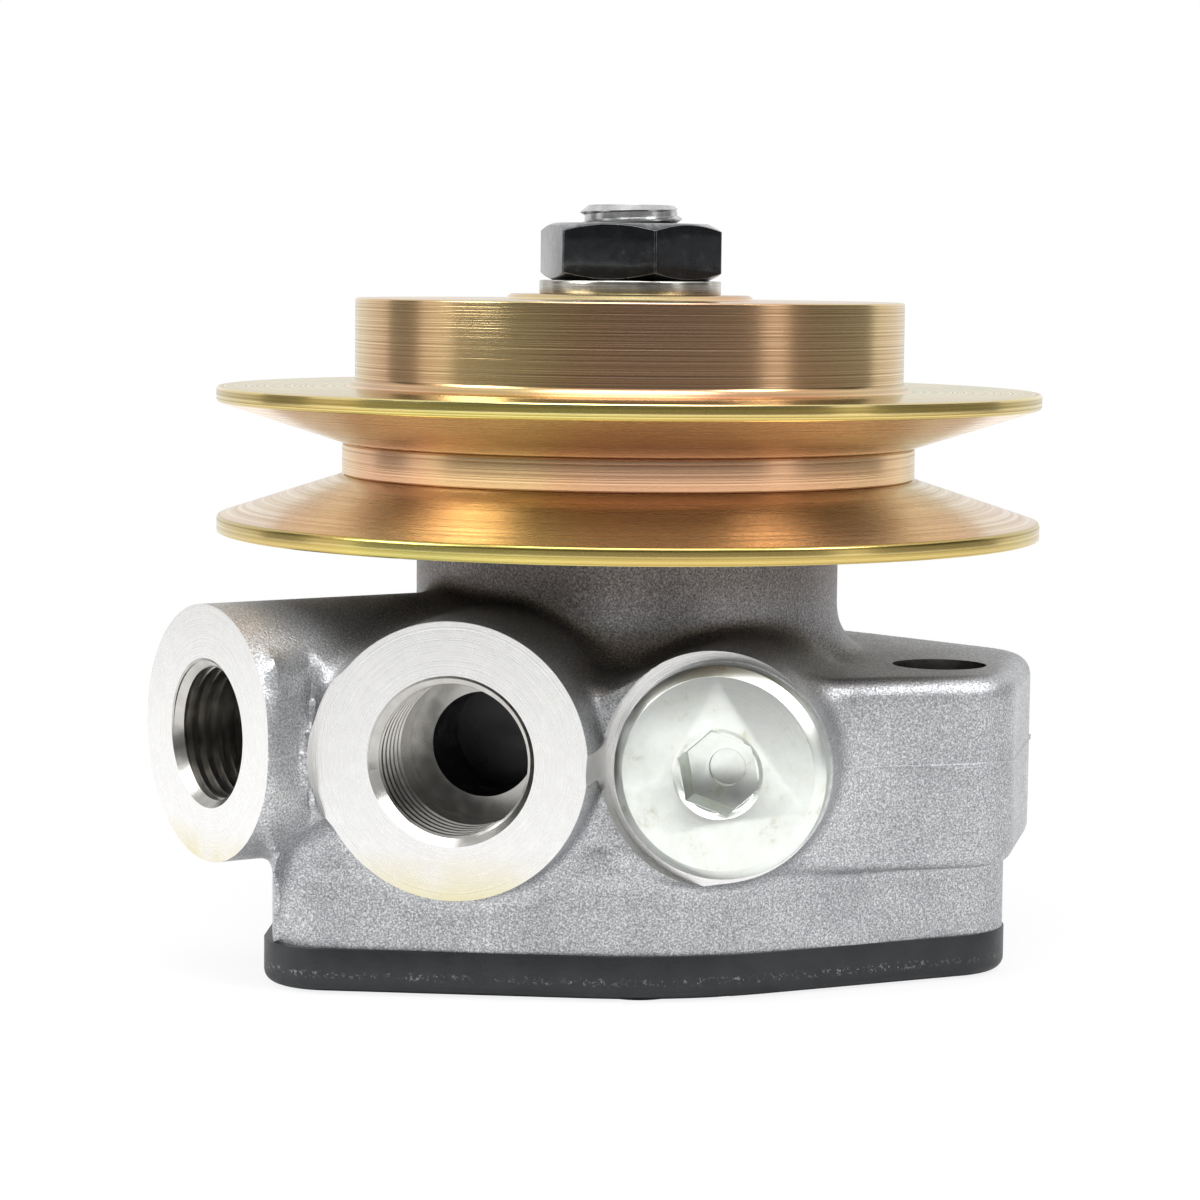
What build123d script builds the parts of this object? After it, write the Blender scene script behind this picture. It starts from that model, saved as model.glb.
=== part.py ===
"""Belt-driven fuel lift pump, modelled as an assembly of separate pieces, in millimetres.

The shaft axis is Z, the underside of the bottom cover lies on Z = 0 and the threaded ports face -Y.
"""
from build123d import *
import math
import os

# Clearances
static_fit = 0.02
running_fit = 0.03
lip_gap = 0.04
tooth_gap = 0.06
face_gap = 0.05

# Bottom cover
cover_t = 4.8
cover_lip = 0.8
cover_shift_x = -0.6
cover_edge_r = 1.3
cover_screw_pitch_r = 31.8
cover_screw_angles = (40, 120, 185, 285, 330)
corner_screw_at = (-25.1, -32.8)
dowel_angles = (62, 257)
dowel_r = 2.0
dowel_depth = 5.0
dowel_in_cover = 3.0
dowel_chamfer = 0.3

# Cover screws, M5 countersunk
screw_r = 2.5
screw_head_r = 4.6
screw_length = 16.0
screw_hole_extra = 1.5
screw_socket_across = 3.0
screw_socket_depth = 1.8

# Housing outline, as circles that a tangent wall runs round
body_r = 36.4
corner_r = 7.0
flange_r = 7.7
mount_hole_r = 5.3
mount_pitch_r = 38.5
mount_angles = (-10.5, 88.0, 152.0)

# Housing heights
lug_bottom_z = 13.0
lug_top_z = 34.5
parting_z = 24.9
neck_r = 24.7
neck_top_z = 62.5
neck_cove_r = 4.0
lug_edge_r = 2.4
lug_under_r = 2.0
flash_out = 0.22
flash_t = 0.5

# Front mounting lug: its two outer corners, and the round lugs on the other sides
lug_front_corner = (39.1, -11.8, 8.0)
lug_back_corner = (35.4, 5.4, 11.6)
round_lug_r = 9.8

# Inlet port, M18 x 1.5
inlet_x = -9.7
inlet_z = 26.4
inlet_face_y = -43.5
inlet_boss_r = 15.0
inlet_shoulder = 0.6
inlet_thread_r = 9.0
inlet_minor_r = 8.2
inlet_thread_l = 10.5
inlet_step_l = 14.4
inlet_passage_r = 5.85
inlet_passage_end_y = -22.0

# Outlet port, M16 x 1.5, turned towards the left
outlet_angle = 43.0
outlet_reach = 55.6
outlet_z = 28.0
outlet_boss_r = 14.1
outlet_thread_r = 8.0
outlet_thread_l = 12.0
outlet_passage_r = 5.0
outlet_passage_inner = 31.0
outlet_drill_r = 3.0
outlet_drill_inner = 16.0
port_chamfer = 0.5

# Flat wall between the two ports, from just behind the outlet face to the edge of the inlet face
port_wall_top_z = 37.4
port_wall_bottom_z = 22.0
port_wall_inset = 0.5
port_wall_setback = 1.0
port_wall_core = 9.0
port_wall_depth = 16.0
port_wall_gap = 0.4

# Relief valve behind the hexagon-socket plug
relief_x = 18.3
relief_z = 25.55
relief_face_y = -33.7
relief_boss_x = 17.1
relief_boss_r = 12.6
relief_boss_end_y = -14.0
spot_face_gap = 0.3
plug_head_r = 11.5
plug_head_t = 4.0
plug_head_chamfer = 1.1
plug_thread_r = 8.0
plug_thread_l = 10.0
plug_socket_across = 8.0
plug_socket_depth = 5.5
plug_socket_lead_r = 4.9
plug_socket_lead = 0.6
plug_socket_turn = 41.0
plug_drill_r = 2.0
plug_drill_depth = 0.8
plug_end_chamfer = 0.8
plug_bore_r = 5.2
plug_bore_depth = 4.0
plug_recess_l = 11.0
sealing_ring_r = 11.7
sealing_ring_t = 0.8
relief_bore_r = 6.0
relief_seat_y = -4.0
relief_valve_l = 8.0
relief_valve_wall = 1.2
relief_valve_floor = 1.6
relief_feed_r = 2.2
relief_feed_to = (6.0, 15.6)
relief_return_r = 2.0
relief_return_at = (14.8, -10.5)
spring_wire_r = 0.6
spring_mean_r = 4.1
spring_turns = 6.5

# Rotor set
rotor_t = 10.2
rotor_shift = 1.9
shift_angle = 236.0
inner_teeth = 6
tooth_circle_at = 20.0
tooth_circle_r = 6.0
outer_rotor_r = 21.0
profile_points_per_lobe = 12

# Kidney ports in the chamber roof
kidney_inner_r = 12.4
kidney_outer_r = 17.6
kidney_depth = 3.0
inlet_kidney = (250.0, 150.0)
outlet_kidney = (72.0, 150.0)
inlet_well_r = 4.0
inlet_well_at = (-8.6, -19.8)
outlet_well_r = 3.5
outlet_well_at = (-12.5, -11.0)

# Cover seal in its groove
seal_groove_r = 25.6
seal_groove_w = 2.4
seal_groove_depth = 1.5
seal_corner_r = 0.5

# Shaft
journal_r = 8.0
bearing_seat_r = 8.5
pulley_seat_r = 7.5
stud_core_r = 5.4
stud_chamfer = 0.8
shaft_chamfer = 0.5
collar_r = 10.5
collar_t = 2.0
shaft_top_z = 86.2
journal_end_z = 37.0
pulley_seat_end_z = 75.0

# Plain bush, shaft seal, ball bearing and circlip
bush_r = 10.0
bush_top_z = 35.0
bush_chamfer = 0.4
seal_r = 15.0
seal_t = 7.0
seal_case_t = 1.0
seal_web_t = 1.2
seal_lip_t = 0.7
seal_lip_at = 3.9
seal_lip_top = 5.6
garter_r = 10.75
garter_wire_r = 0.55
bearing_r = 20.0
bearing_w = 12.0
bearing_z = 47.0
bearing_chamfer = 0.8
race_pitch_r = 14.25
race_ball_r = 3.375
race_shoulder = 2.25
race_gap = 0.04
ball_count = 8
cage_t = 1.6
cage_w = 8.4
cage_pocket_gap = 0.12
circlip_t = 1.2
circlip_inner_r = 17.8
circlip_groove = 1.0
circlip_gap_angle = 36.0
circlip_ear_angle = 23.0
circlip_ear_r = 1.9
circlip_ear_hole_r = 0.9

# Belt pulley
pulley_r = 48.0
pulley_z = 48.05
lower_rim_t = 1.9
upper_rim_t = 1.7
groove_w = 13.25
groove_angle = 36.0
groove_root_r = 33.1
band_out = 0.35
band_h = 3.4
hub_r = 32.0
hub_top_z = 75.2
hub_chamfer = 0.5
hub_cove_r = 1.5
boss_r = 14.0
boss_top_z = 75.85
cup_r = 26.7
cup_floor_z = 68.0
rim_chamfer = 0.3

# Keys
key_w = 4.0
key_h = 4.0
key_gap = 0.02
key_inset = 1.0

# Spacer, washer and nut
spacer_r = 11.0
washer_r = 10.6
washer_hole_r = 6.3
washer_t = 1.6
nut_across = 19.0
nut_corner_r = 10.9
nut_t = 6.6
nut_chamfer_r = 9.1
nut_chamfer = 0.9
nut_turn = -3.0
nut_lead = 0.6

os.makedirs("parts", exist_ok=True)

# Sizes that follow from the ones above
chamber_top_z = cover_t + rotor_t + 2 * face_gap
outer_teeth = inner_teeth + 1
rotor_z = cover_t + face_gap
shift_x = rotor_shift * math.cos(math.radians(shift_angle))
shift_y = rotor_shift * math.sin(math.radians(shift_angle))
outer_root_r = tooth_circle_at + 2 * rotor_shift - tooth_circle_r + tooth_gap
seal_z = journal_end_z
bearing_top_z = bearing_z + bearing_w
spacer_l = cup_floor_z - bearing_top_z
washer_z = boss_top_z
nut_z = washer_z + washer_t
groove_z = pulley_z + lower_rim_t
pulley_mid_z = groove_z + groove_w / 2
upper_rim_z = groove_z + groove_w
upper_rim_top_z = upper_rim_z + upper_rim_t
plug_inner_y = relief_face_y - sealing_ring_t + plug_thread_l
spring_start_y = plug_inner_y - plug_bore_depth
spring_l = relief_seat_y - 2 * face_gap - relief_valve_floor - 2 * spring_wire_r - spring_start_y
root_w = groove_w - 2 * (pulley_r - groove_root_r) * math.tan(math.radians(groove_angle / 2))
race_z = bearing_z + bearing_w / 2
rotor_key_z = rotor_z + key_inset
rotor_key_l = rotor_t - 2 * key_inset
pulley_key_z = cup_floor_z
pulley_key_l = pulley_seat_end_z - key_inset - cup_floor_z
mount_places = [
    (mount_pitch_r * math.cos(math.radians(a)), mount_pitch_r * math.sin(math.radians(a)))
    for a in mount_angles
]
screw_places = [
    (cover_screw_pitch_r * math.cos(math.radians(a)), cover_screw_pitch_r * math.sin(math.radians(a)))
    for a in cover_screw_angles
] + [corner_screw_at]
dowel_places = [
    (cover_screw_pitch_r * math.cos(math.radians(a)), cover_screw_pitch_r * math.sin(math.radians(a)))
    for a in dowel_angles
]
body_circles = [(0, 0, body_r), (*corner_screw_at, corner_r)] + [(x, y, flange_r) for x, y in mount_places]
front_lug_circles = [(0, 0, body_r), lug_front_corner, lug_back_corner]

# Planes that look out of each port, with the origin on its machined face
inlet_plane = Plane(origin=(inlet_x, inlet_face_y, inlet_z), x_dir=(1, 0, 0), z_dir=(0, -1, 0))
relief_plane = Plane(origin=(relief_x, relief_face_y, relief_z), x_dir=(1, 0, 0), z_dir=(0, -1, 0))
plug_face_plane = relief_plane.offset(sealing_ring_t + plug_head_t)
outlet_dir = (-math.sin(math.radians(outlet_angle)), -math.cos(math.radians(outlet_angle)), 0)
outlet_face = (outlet_reach * outlet_dir[0], outlet_reach * outlet_dir[1], outlet_z)
outlet_plane = Plane(origin=outlet_face, x_dir=(-outlet_dir[1], outlet_dir[0], 0), z_dir=outlet_dir)

# Corners in plan of the wall between the ports, and of the room in front of it that clears the inlet face
wall_front = outlet_plane.from_local_coords((outlet_boss_r - port_wall_inset, 0, -port_wall_setback))
wall_front_core = outlet_plane.from_local_coords((port_wall_core, 0, -port_wall_setback))
wall_back_core = outlet_plane.from_local_coords((port_wall_core, 0, -port_wall_depth))
wall_back = Vector(inlet_x - inlet_boss_r - port_wall_gap, inlet_face_y + inlet_shoulder, outlet_z)
wall_ahead = wall_front + (wall_front - wall_back).normalized() * 3 * port_wall_setback
wall_points = [(p.X, p.Y) for p in (wall_front, wall_back, wall_back_core, wall_front_core)]
room_points = [
    (wall_ahead.X, wall_ahead.Y),
    (wall_back.X, wall_back.Y),
    (inlet_x, wall_back.Y),
    (inlet_x, wall_ahead.Y),
]


def add_hull(circles, grow=0.0):
    """Adds the tangent hull of (x, y, radius) circles, all grown alike, to the open sketch."""
    for x, y, radius in circles:
        with Locations((x, y)):
            Circle(radius + grow)
    make_hull()


def add_profile(points):
    """Adds the closed straight-sided profile through the points to the open sketch."""
    with BuildLine() as outline:
        Polyline(*points, close=True)
    make_face(outline.edges())


def blind_hole(plane, radius, depth):
    """Cuts a round flat-bottomed hole into the open part, down from the plane."""
    with BuildSketch(plane) as mouth:
        Circle(radius)
    extrude(mouth.sketch, amount=-depth, mode=Mode.SUBTRACT)


def countersink(plane, radius, depth):
    """Cuts a 45-degree lead-in whose mouth has the given radius on the plane."""
    with BuildSketch(plane) as mouth:
        Circle(radius)
    extrude(mouth.sketch, amount=-depth, taper=45, mode=Mode.SUBTRACT)


def add_kidney(start_angle, arc_angle):
    """Adds one kidney-shaped slot about the shaft axis to the open sketch."""
    with BuildLine() as outline:
        outer_arc = CenterArc((0, 0), kidney_outer_r, start_angle, arc_angle)
        inner_arc = CenterArc((0, 0), kidney_inner_r, start_angle, arc_angle)
        Line(outer_arc @ 0, inner_arc @ 0)
        Line(outer_arc @ 1, inner_arc @ 1)
    make_face(outline.edges())


def tooth_path(tau):
    """Centre of an outer-rotor tooth circle seen from the inner rotor, and its direction of travel."""
    x = tooth_circle_at * math.cos(tau) + rotor_shift * math.cos(outer_teeth * tau)
    y = tooth_circle_at * math.sin(tau) + rotor_shift * math.sin(outer_teeth * tau)
    dx = -tooth_circle_at * math.sin(tau) - rotor_shift * outer_teeth * math.sin(outer_teeth * tau)
    dy = tooth_circle_at * math.cos(tau) + rotor_shift * outer_teeth * math.cos(outer_teeth * tau)
    return x, y, dx, dy


def inner_rotor_points():
    """Points of the inner rotor's profile: the tooth path moved inwards by the tooth radius."""
    points = []
    count = inner_teeth * profile_points_per_lobe
    inset = tooth_circle_r + tooth_gap / 2
    for i in range(count):
        x, y, dx, dy = tooth_path(2 * math.pi * i / count)
        speed = math.hypot(dx, dy)
        point = Vector(x - inset * dy / speed, y + inset * dx / speed)
        points.append(point.rotate(Axis.Z, shift_angle))
    return points


# Housing: one casting with the rotor chamber, three port bosses, the lugs and the bearing neck
with BuildPart() as housing:
    with BuildSketch(Plane.XY.offset(lug_bottom_z)):
        add_hull(front_lug_circles)
    extrude(amount=lug_top_z - lug_bottom_z)
    for x, y in mount_places[1:]:
        with BuildSketch(Plane.XY.offset(lug_bottom_z)):
            add_hull([(0, 0, body_r - round_lug_r), (x, y, round_lug_r)])
        extrude(amount=lug_top_z - lug_bottom_z)
    with BuildSketch(Plane.XY.offset(lug_bottom_z)):
        add_hull([(0, 0, body_r), (*corner_screw_at, corner_r)])
    extrude(amount=lug_top_z - lug_bottom_z)
    fillet(housing.faces().sort_by(Axis.Z)[-1].edges(), lug_edge_r)
    fillet(housing.faces().sort_by(Axis.Z)[0].edges(), lug_under_r)
    with BuildSketch(Plane.XY.offset(cover_t)):
        add_hull(body_circles)
    extrude(amount=lug_bottom_z + lug_under_r - cover_t)

    with BuildSketch(Plane.XZ):
        with BuildLine():
            Polyline((neck_r, lug_top_z + neck_cove_r), (neck_r, neck_top_z), (0, neck_top_z), (0, lug_top_z))
            Line((0, lug_top_z), (neck_r + neck_cove_r, lug_top_z))
            CenterArc((neck_r + neck_cove_r, lug_top_z + neck_cove_r), neck_cove_r, 180, 90)
        make_face()
    revolve(axis=Axis.Z)

    with BuildSketch(outlet_plane):
        Circle(outlet_boss_r)
    extrude(amount=-outlet_reach)
    with BuildSketch(Plane.XY.offset(port_wall_bottom_z)):
        add_profile(wall_points)
    extrude(amount=port_wall_top_z - port_wall_bottom_z)
    with BuildSketch(Plane.XY.offset(outlet_z - outlet_boss_r)):
        add_profile(room_points)
    extrude(amount=2 * outlet_boss_r, mode=Mode.SUBTRACT)
    with BuildSketch(inlet_plane):
        Circle(inlet_boss_r)
    extrude(amount=inlet_face_y)
    with BuildSketch(relief_plane):
        with Locations((relief_boss_x - relief_x, 0)):
            Circle(relief_boss_r)
    extrude(amount=relief_face_y - relief_boss_end_y)
    with Locations((relief_boss_x, relief_boss_end_y, relief_z)):
        Sphere(relief_boss_r)

    # Raised line where the two halves of the casting die met
    with BuildSketch(Plane.XY.offset(parting_z - flash_t / 2)):
        add_hull(front_lug_circles, flash_out)
    extrude(amount=flash_t)

    # Rotor chamber, cover seal groove, kidneys and the wells up to the passages
    with BuildSketch(Plane.XY.offset(cover_t)):
        with Locations((shift_x, shift_y)):
            Circle(outer_rotor_r + running_fit)
    extrude(amount=chamber_top_z - cover_t, mode=Mode.SUBTRACT)
    with BuildSketch(Plane.XY.offset(cover_t)):
        Circle(seal_groove_r + seal_groove_w / 2)
        Circle(seal_groove_r - seal_groove_w / 2, mode=Mode.SUBTRACT)
    extrude(amount=seal_groove_depth, mode=Mode.SUBTRACT)
    with BuildSketch(Plane.XY.offset(chamber_top_z)):
        add_kidney(*inlet_kidney)
        add_kidney(*outlet_kidney)
    extrude(amount=kidney_depth, mode=Mode.SUBTRACT)
    with BuildSketch(Plane.XY.offset(chamber_top_z)):
        with Locations(inlet_well_at):
            Circle(inlet_well_r)
    extrude(amount=inlet_z - chamber_top_z, mode=Mode.SUBTRACT)
    with BuildSketch(Plane.XY.offset(chamber_top_z)):
        with Locations(outlet_well_at):
            Circle(outlet_well_r)
    extrude(amount=outlet_z - chamber_top_z, mode=Mode.SUBTRACT)

    # Inlet port
    countersink(inlet_plane, inlet_thread_r + port_chamfer, port_chamfer)
    blind_hole(inlet_plane, inlet_thread_r, inlet_thread_l)
    blind_hole(inlet_plane, inlet_minor_r, inlet_step_l)
    blind_hole(inlet_plane, inlet_passage_r, inlet_passage_end_y - inlet_face_y)

    # Outlet port
    countersink(outlet_plane, outlet_thread_r + port_chamfer, port_chamfer)
    blind_hole(outlet_plane, outlet_thread_r, outlet_thread_l)
    blind_hole(outlet_plane, outlet_passage_r, outlet_reach - outlet_passage_inner)
    blind_hole(outlet_plane, outlet_drill_r, outlet_reach - outlet_drill_inner)

    # Machined seat of the plug, relief valve bore, its feed from the outlet side and its return
    with BuildSketch(relief_plane):
        Circle(sealing_ring_r + spot_face_gap)
    extrude(amount=sealing_ring_t + plug_head_t, mode=Mode.SUBTRACT)
    countersink(relief_plane, plug_thread_r + port_chamfer, port_chamfer)
    blind_hole(relief_plane, plug_thread_r, plug_recess_l)
    blind_hole(relief_plane, relief_bore_r, relief_seat_y - relief_face_y)
    feed_from = Vector(relief_x, relief_seat_y, chamber_top_z + kidney_depth + relief_feed_r / 2)
    feed_to = Vector(*relief_feed_to, feed_from.Z)
    with BuildSketch(Plane(origin=feed_from, z_dir=feed_to - feed_from)):
        Circle(relief_feed_r)
    extrude(amount=(feed_to - feed_from).length, mode=Mode.SUBTRACT)
    blind_hole(relief_plane, relief_feed_r, relief_seat_y - relief_face_y + relief_feed_r)
    with BuildSketch(Plane.XY.offset(chamber_top_z)):
        with Locations(relief_return_at):
            Circle(relief_return_r)
    extrude(amount=relief_z - chamber_top_z, mode=Mode.SUBTRACT)

    # Stepped bore for the bush, the shaft seal and the bearing, with the circlip groove
    with BuildSketch(Plane.XZ):
        add_profile([
            (0, 0),
            (bush_r, 0),
            (bush_r, seal_z),
            (seal_r, seal_z),
            (seal_r, bearing_z),
            (bearing_r, bearing_z),
            (bearing_r, bearing_top_z),
            (bearing_r + circlip_groove, bearing_top_z),
            (bearing_r + circlip_groove, bearing_top_z + circlip_t + face_gap),
            (bearing_r, bearing_top_z + circlip_t + face_gap),
            (bearing_r, neck_top_z),
            (0, neck_top_z),
        ])
    revolve(axis=Axis.Z, mode=Mode.SUBTRACT)

    # Mounting holes, tapped holes for the cover screws and holes for the dowels
    for x, y in mount_places:
        blind_hole(Plane((x, y, lug_top_z)), mount_hole_r, lug_top_z)
    for x, y in screw_places:
        blind_hole(Plane((x, y, cover_t), z_dir=(0, 0, -1)), screw_r, screw_length + screw_hole_extra - cover_t)
    for x, y in dowel_places:
        blind_hole(Plane((x, y, cover_t), z_dir=(0, 0, -1)), dowel_r, dowel_depth)
housing.part.label = "housing"
export_step(housing.part, "parts/housing.step")

# Bottom cover: the blanked steel plate that closes the chamber
with BuildPart() as cover_plate:
    with BuildSketch():
        add_hull([(x + cover_shift_x, y, radius) for x, y, radius in body_circles], cover_lip)
    extrude(amount=cover_t)
    fillet(cover_plate.faces().sort_by(Axis.Z)[0].edges(), cover_edge_r)
    for x, y in mount_places:
        blind_hole(Plane((x, y, cover_t)), mount_hole_r, cover_t)
    for x, y in screw_places:
        with Locations(Plane((x, y, 0), z_dir=(0, 0, -1))):
            CounterSinkHole(screw_r + running_fit, screw_head_r + static_fit, counter_sink_angle=90)
    for x, y in dowel_places:
        blind_hole(Plane((x, y, cover_t)), dowel_r, dowel_in_cover)
cover_plate.part.label = "cover_plate"
export_step(cover_plate.part, "parts/cover_plate.step")

# Flat-head screws that hold the cover, one group of separate solids
with BuildPart() as cover_screws:
    with Locations(*[(x, y, 0) for x, y in screw_places]):
        Cone(screw_head_r, screw_r, screw_head_r - screw_r, align=(Align.CENTER, Align.CENTER, Align.MIN))
        Cylinder(screw_r - static_fit, screw_length, align=(Align.CENTER, Align.CENTER, Align.MIN))
    with BuildSketch(Plane.XY):
        with Locations(*screw_places):
            RegularPolygon(screw_socket_across / 2, 6, major_radius=False)
    extrude(amount=screw_socket_depth, mode=Mode.SUBTRACT)
cover_screws.part.label = "cover_screws"
export_step(cover_screws.part, "parts/cover_screws.step")

# Dowels that line the cover up with the housing
with BuildPart() as cover_dowels:
    with BuildSketch(Plane.XY.offset(cover_t - dowel_in_cover + face_gap)):
        with Locations(*dowel_places):
            Circle(dowel_r - static_fit)
    extrude(amount=dowel_in_cover + dowel_depth - 2 * face_gap)
    chamfer(cover_dowels.edges().filter_by(GeomType.CIRCLE), dowel_chamfer)
cover_dowels.part.label = "cover_dowels"
export_step(cover_dowels.part, "parts/cover_dowels.step")

# Rubber ring pressed flat between the housing and the cover
with BuildPart() as cover_seal:
    with BuildSketch(Plane.XZ):
        with Locations((seal_groove_r, cover_t + seal_groove_depth / 2)):
            RectangleRounded(seal_groove_w - 2 * face_gap, seal_groove_depth, seal_corner_r)
    revolve(axis=Axis.Z)
cover_seal.part.label = "cover_seal"
export_step(cover_seal.part, "parts/cover_seal.step")

# Plain bush that carries the lower journal
with BuildPart() as shaft_bush:
    with BuildSketch(Plane.XY.offset(chamber_top_z + face_gap)):
        Circle(bush_r - static_fit)
        Circle(journal_r + running_fit, mode=Mode.SUBTRACT)
    extrude(amount=bush_top_z - chamber_top_z - face_gap)
    chamfer(shaft_bush.edges().filter_by(GeomType.CIRCLE), bush_chamfer)
shaft_bush.part.label = "shaft_bush"
export_step(shaft_bush.part, "parts/shaft_bush.step")

# Lip seal: a stiff case pressed into the housing, with a lip on the shaft
with BuildPart() as shaft_seal:
    with BuildSketch(Plane.XZ):
        add_profile([
            (seal_r - static_fit, seal_z + face_gap),
            (seal_r - static_fit, seal_z + seal_t),
            (seal_r - seal_case_t, seal_z + seal_t),
            (seal_r - seal_case_t, seal_z + seal_web_t),
            (garter_r - garter_wire_r, seal_z + seal_web_t),
            (garter_r - garter_wire_r, seal_z + seal_lip_top),
            (bearing_seat_r + lip_gap + seal_lip_t, seal_z + seal_lip_top),
            (bearing_seat_r + lip_gap, seal_z + seal_lip_at),
            (bearing_seat_r + lip_gap + seal_lip_t, seal_z + seal_web_t),
            (bearing_seat_r + lip_gap + seal_lip_t, seal_z + face_gap),
        ])
    revolve(axis=Axis.Z)
shaft_seal.part.label = "shaft_seal"
export_step(shaft_seal.part, "parts/shaft_seal.step")

# Spring ring that squeezes the lip on the shaft
with BuildPart() as seal_garter_spring:
    with Locations((0, 0, seal_z + seal_lip_at)):
        Torus(garter_r + static_fit, garter_wire_r)
seal_garter_spring.part.label = "seal_garter_spring"
export_step(seal_garter_spring.part, "parts/seal_garter_spring.step")

# Ball bearing: outer ring in the housing, inner ring on the shaft, balls in their cage between them
with BuildPart() as bearing_outer_ring:
    with BuildSketch(Plane.XY.offset(bearing_z)):
        Circle(bearing_r - static_fit)
        Circle(race_pitch_r + race_shoulder, mode=Mode.SUBTRACT)
    extrude(amount=bearing_w)
    chamfer(bearing_outer_ring.edges().filter_by(GeomType.CIRCLE).group_by(SortBy.RADIUS)[-1], bearing_chamfer)
    with Locations((0, 0, race_z)):
        Torus(race_pitch_r, race_ball_r + race_gap, mode=Mode.SUBTRACT)
bearing_outer_ring.part.label = "bearing_outer_ring"
export_step(bearing_outer_ring.part, "parts/bearing_outer_ring.step")

with BuildPart() as bearing_inner_ring:
    with BuildSketch(Plane.XY.offset(bearing_z)):
        Circle(race_pitch_r - race_shoulder)
        Circle(bearing_seat_r + static_fit, mode=Mode.SUBTRACT)
    extrude(amount=bearing_w)
    chamfer(bearing_inner_ring.edges().filter_by(GeomType.CIRCLE).group_by(SortBy.RADIUS)[0], bearing_chamfer)
    with Locations((0, 0, race_z)):
        Torus(race_pitch_r, race_ball_r + race_gap, mode=Mode.SUBTRACT)
bearing_inner_ring.part.label = "bearing_inner_ring"
export_step(bearing_inner_ring.part, "parts/bearing_inner_ring.step")

with BuildPart() as bearing_balls:
    with Locations((0, 0, race_z)):
        with PolarLocations(race_pitch_r, ball_count):
            Sphere(race_ball_r)
bearing_balls.part.label = "bearing_balls"
export_step(bearing_balls.part, "parts/bearing_balls.step")

with BuildPart() as bearing_cage:
    with BuildSketch(Plane.XY.offset(race_z - cage_w / 2)):
        Circle(race_pitch_r + cage_t / 2)
        Circle(race_pitch_r - cage_t / 2, mode=Mode.SUBTRACT)
    extrude(amount=cage_w)
    with Locations((0, 0, race_z)):
        with PolarLocations(race_pitch_r, ball_count):
            Cylinder(race_ball_r + cage_pocket_gap, 2 * cage_t, rotation=(0, 90, 0), mode=Mode.SUBTRACT)
bearing_cage.part.label = "bearing_cage"
export_step(bearing_cage.part, "parts/bearing_cage.step")

# Circlip over the bearing, with an eye at each end for the pliers
with BuildPart() as bearing_circlip:
    with BuildSketch(Plane.XY.offset(bearing_top_z + face_gap / 2)):
        Circle(bearing_r + circlip_groove - static_fit)
        Circle(circlip_inner_r, mode=Mode.SUBTRACT)
        with BuildLine():
            gap_end = (2 * bearing_r, 2 * bearing_r * math.tan(math.radians(circlip_gap_angle / 2)))
            Polyline((0, 0), gap_end, (gap_end[0], -gap_end[1]), close=True)
        make_face(mode=Mode.SUBTRACT)
        with PolarLocations(circlip_inner_r, 2, -circlip_ear_angle, 2 * circlip_ear_angle, endpoint=True):
            Circle(circlip_ear_r)
            Circle(circlip_ear_hole_r, mode=Mode.SUBTRACT)
    extrude(amount=circlip_t)
bearing_circlip.part.label = "bearing_circlip"
export_step(bearing_circlip.part, "parts/bearing_circlip.step")

# Shaft: journal, seal track, collar, bearing seat, pulley seat and threaded stud
with BuildPart() as pump_shaft:
    with BuildSketch(Plane.XZ):
        add_profile([
            (0, rotor_z),
            (journal_r - shaft_chamfer, rotor_z),
            (journal_r, rotor_z + shaft_chamfer),
            (journal_r, journal_end_z - shaft_chamfer),
            (bearing_seat_r, journal_end_z),
            (bearing_seat_r, bearing_z - collar_t),
            (collar_r, bearing_z - collar_t),
            (collar_r, bearing_z),
            (bearing_seat_r, bearing_z),
            (bearing_seat_r, cup_floor_z - shaft_chamfer),
            (pulley_seat_r, cup_floor_z - shaft_chamfer),
            (pulley_seat_r, pulley_seat_end_z),
            (stud_core_r, pulley_seat_end_z),
            (stud_core_r, shaft_top_z - stud_chamfer),
            (stud_core_r - stud_chamfer, shaft_top_z),
            (0, shaft_top_z),
        ])
    revolve(axis=Axis.Z)
    with BuildSketch(Plane.XY.offset(rotor_key_z)):
        with Locations((journal_r, 0)):
            Rectangle(key_h, key_w)
    extrude(amount=rotor_key_l, mode=Mode.SUBTRACT)
    with BuildSketch(Plane.XY.offset(pulley_key_z)):
        with Locations((pulley_seat_r, 0)):
            Rectangle(key_h, key_w)
    extrude(amount=pulley_key_l, mode=Mode.SUBTRACT)
pump_shaft.part.label = "pump_shaft"
export_step(pump_shaft.part, "parts/pump_shaft.step")

# Keys that lock the inner rotor and the pulley to the shaft
with BuildPart() as rotor_key:
    with BuildSketch(Plane.XY.offset(rotor_key_z + key_gap)):
        with Locations((journal_r, 0)):
            Rectangle(key_h - 2 * key_gap, key_w - 2 * key_gap)
    extrude(amount=rotor_key_l - 2 * key_gap)
rotor_key.part.label = "rotor_key"
export_step(rotor_key.part, "parts/rotor_key.step")

with BuildPart() as pulley_key:
    with BuildSketch(Plane.XY.offset(pulley_key_z + key_gap)):
        with Locations((pulley_seat_r, 0)):
            Rectangle(key_h - 2 * key_gap, key_w - 2 * key_gap)
    extrude(amount=pulley_key_l - 2 * key_gap)
pulley_key.part.label = "pulley_key"
export_step(pulley_key.part, "parts/pulley_key.step")

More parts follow.
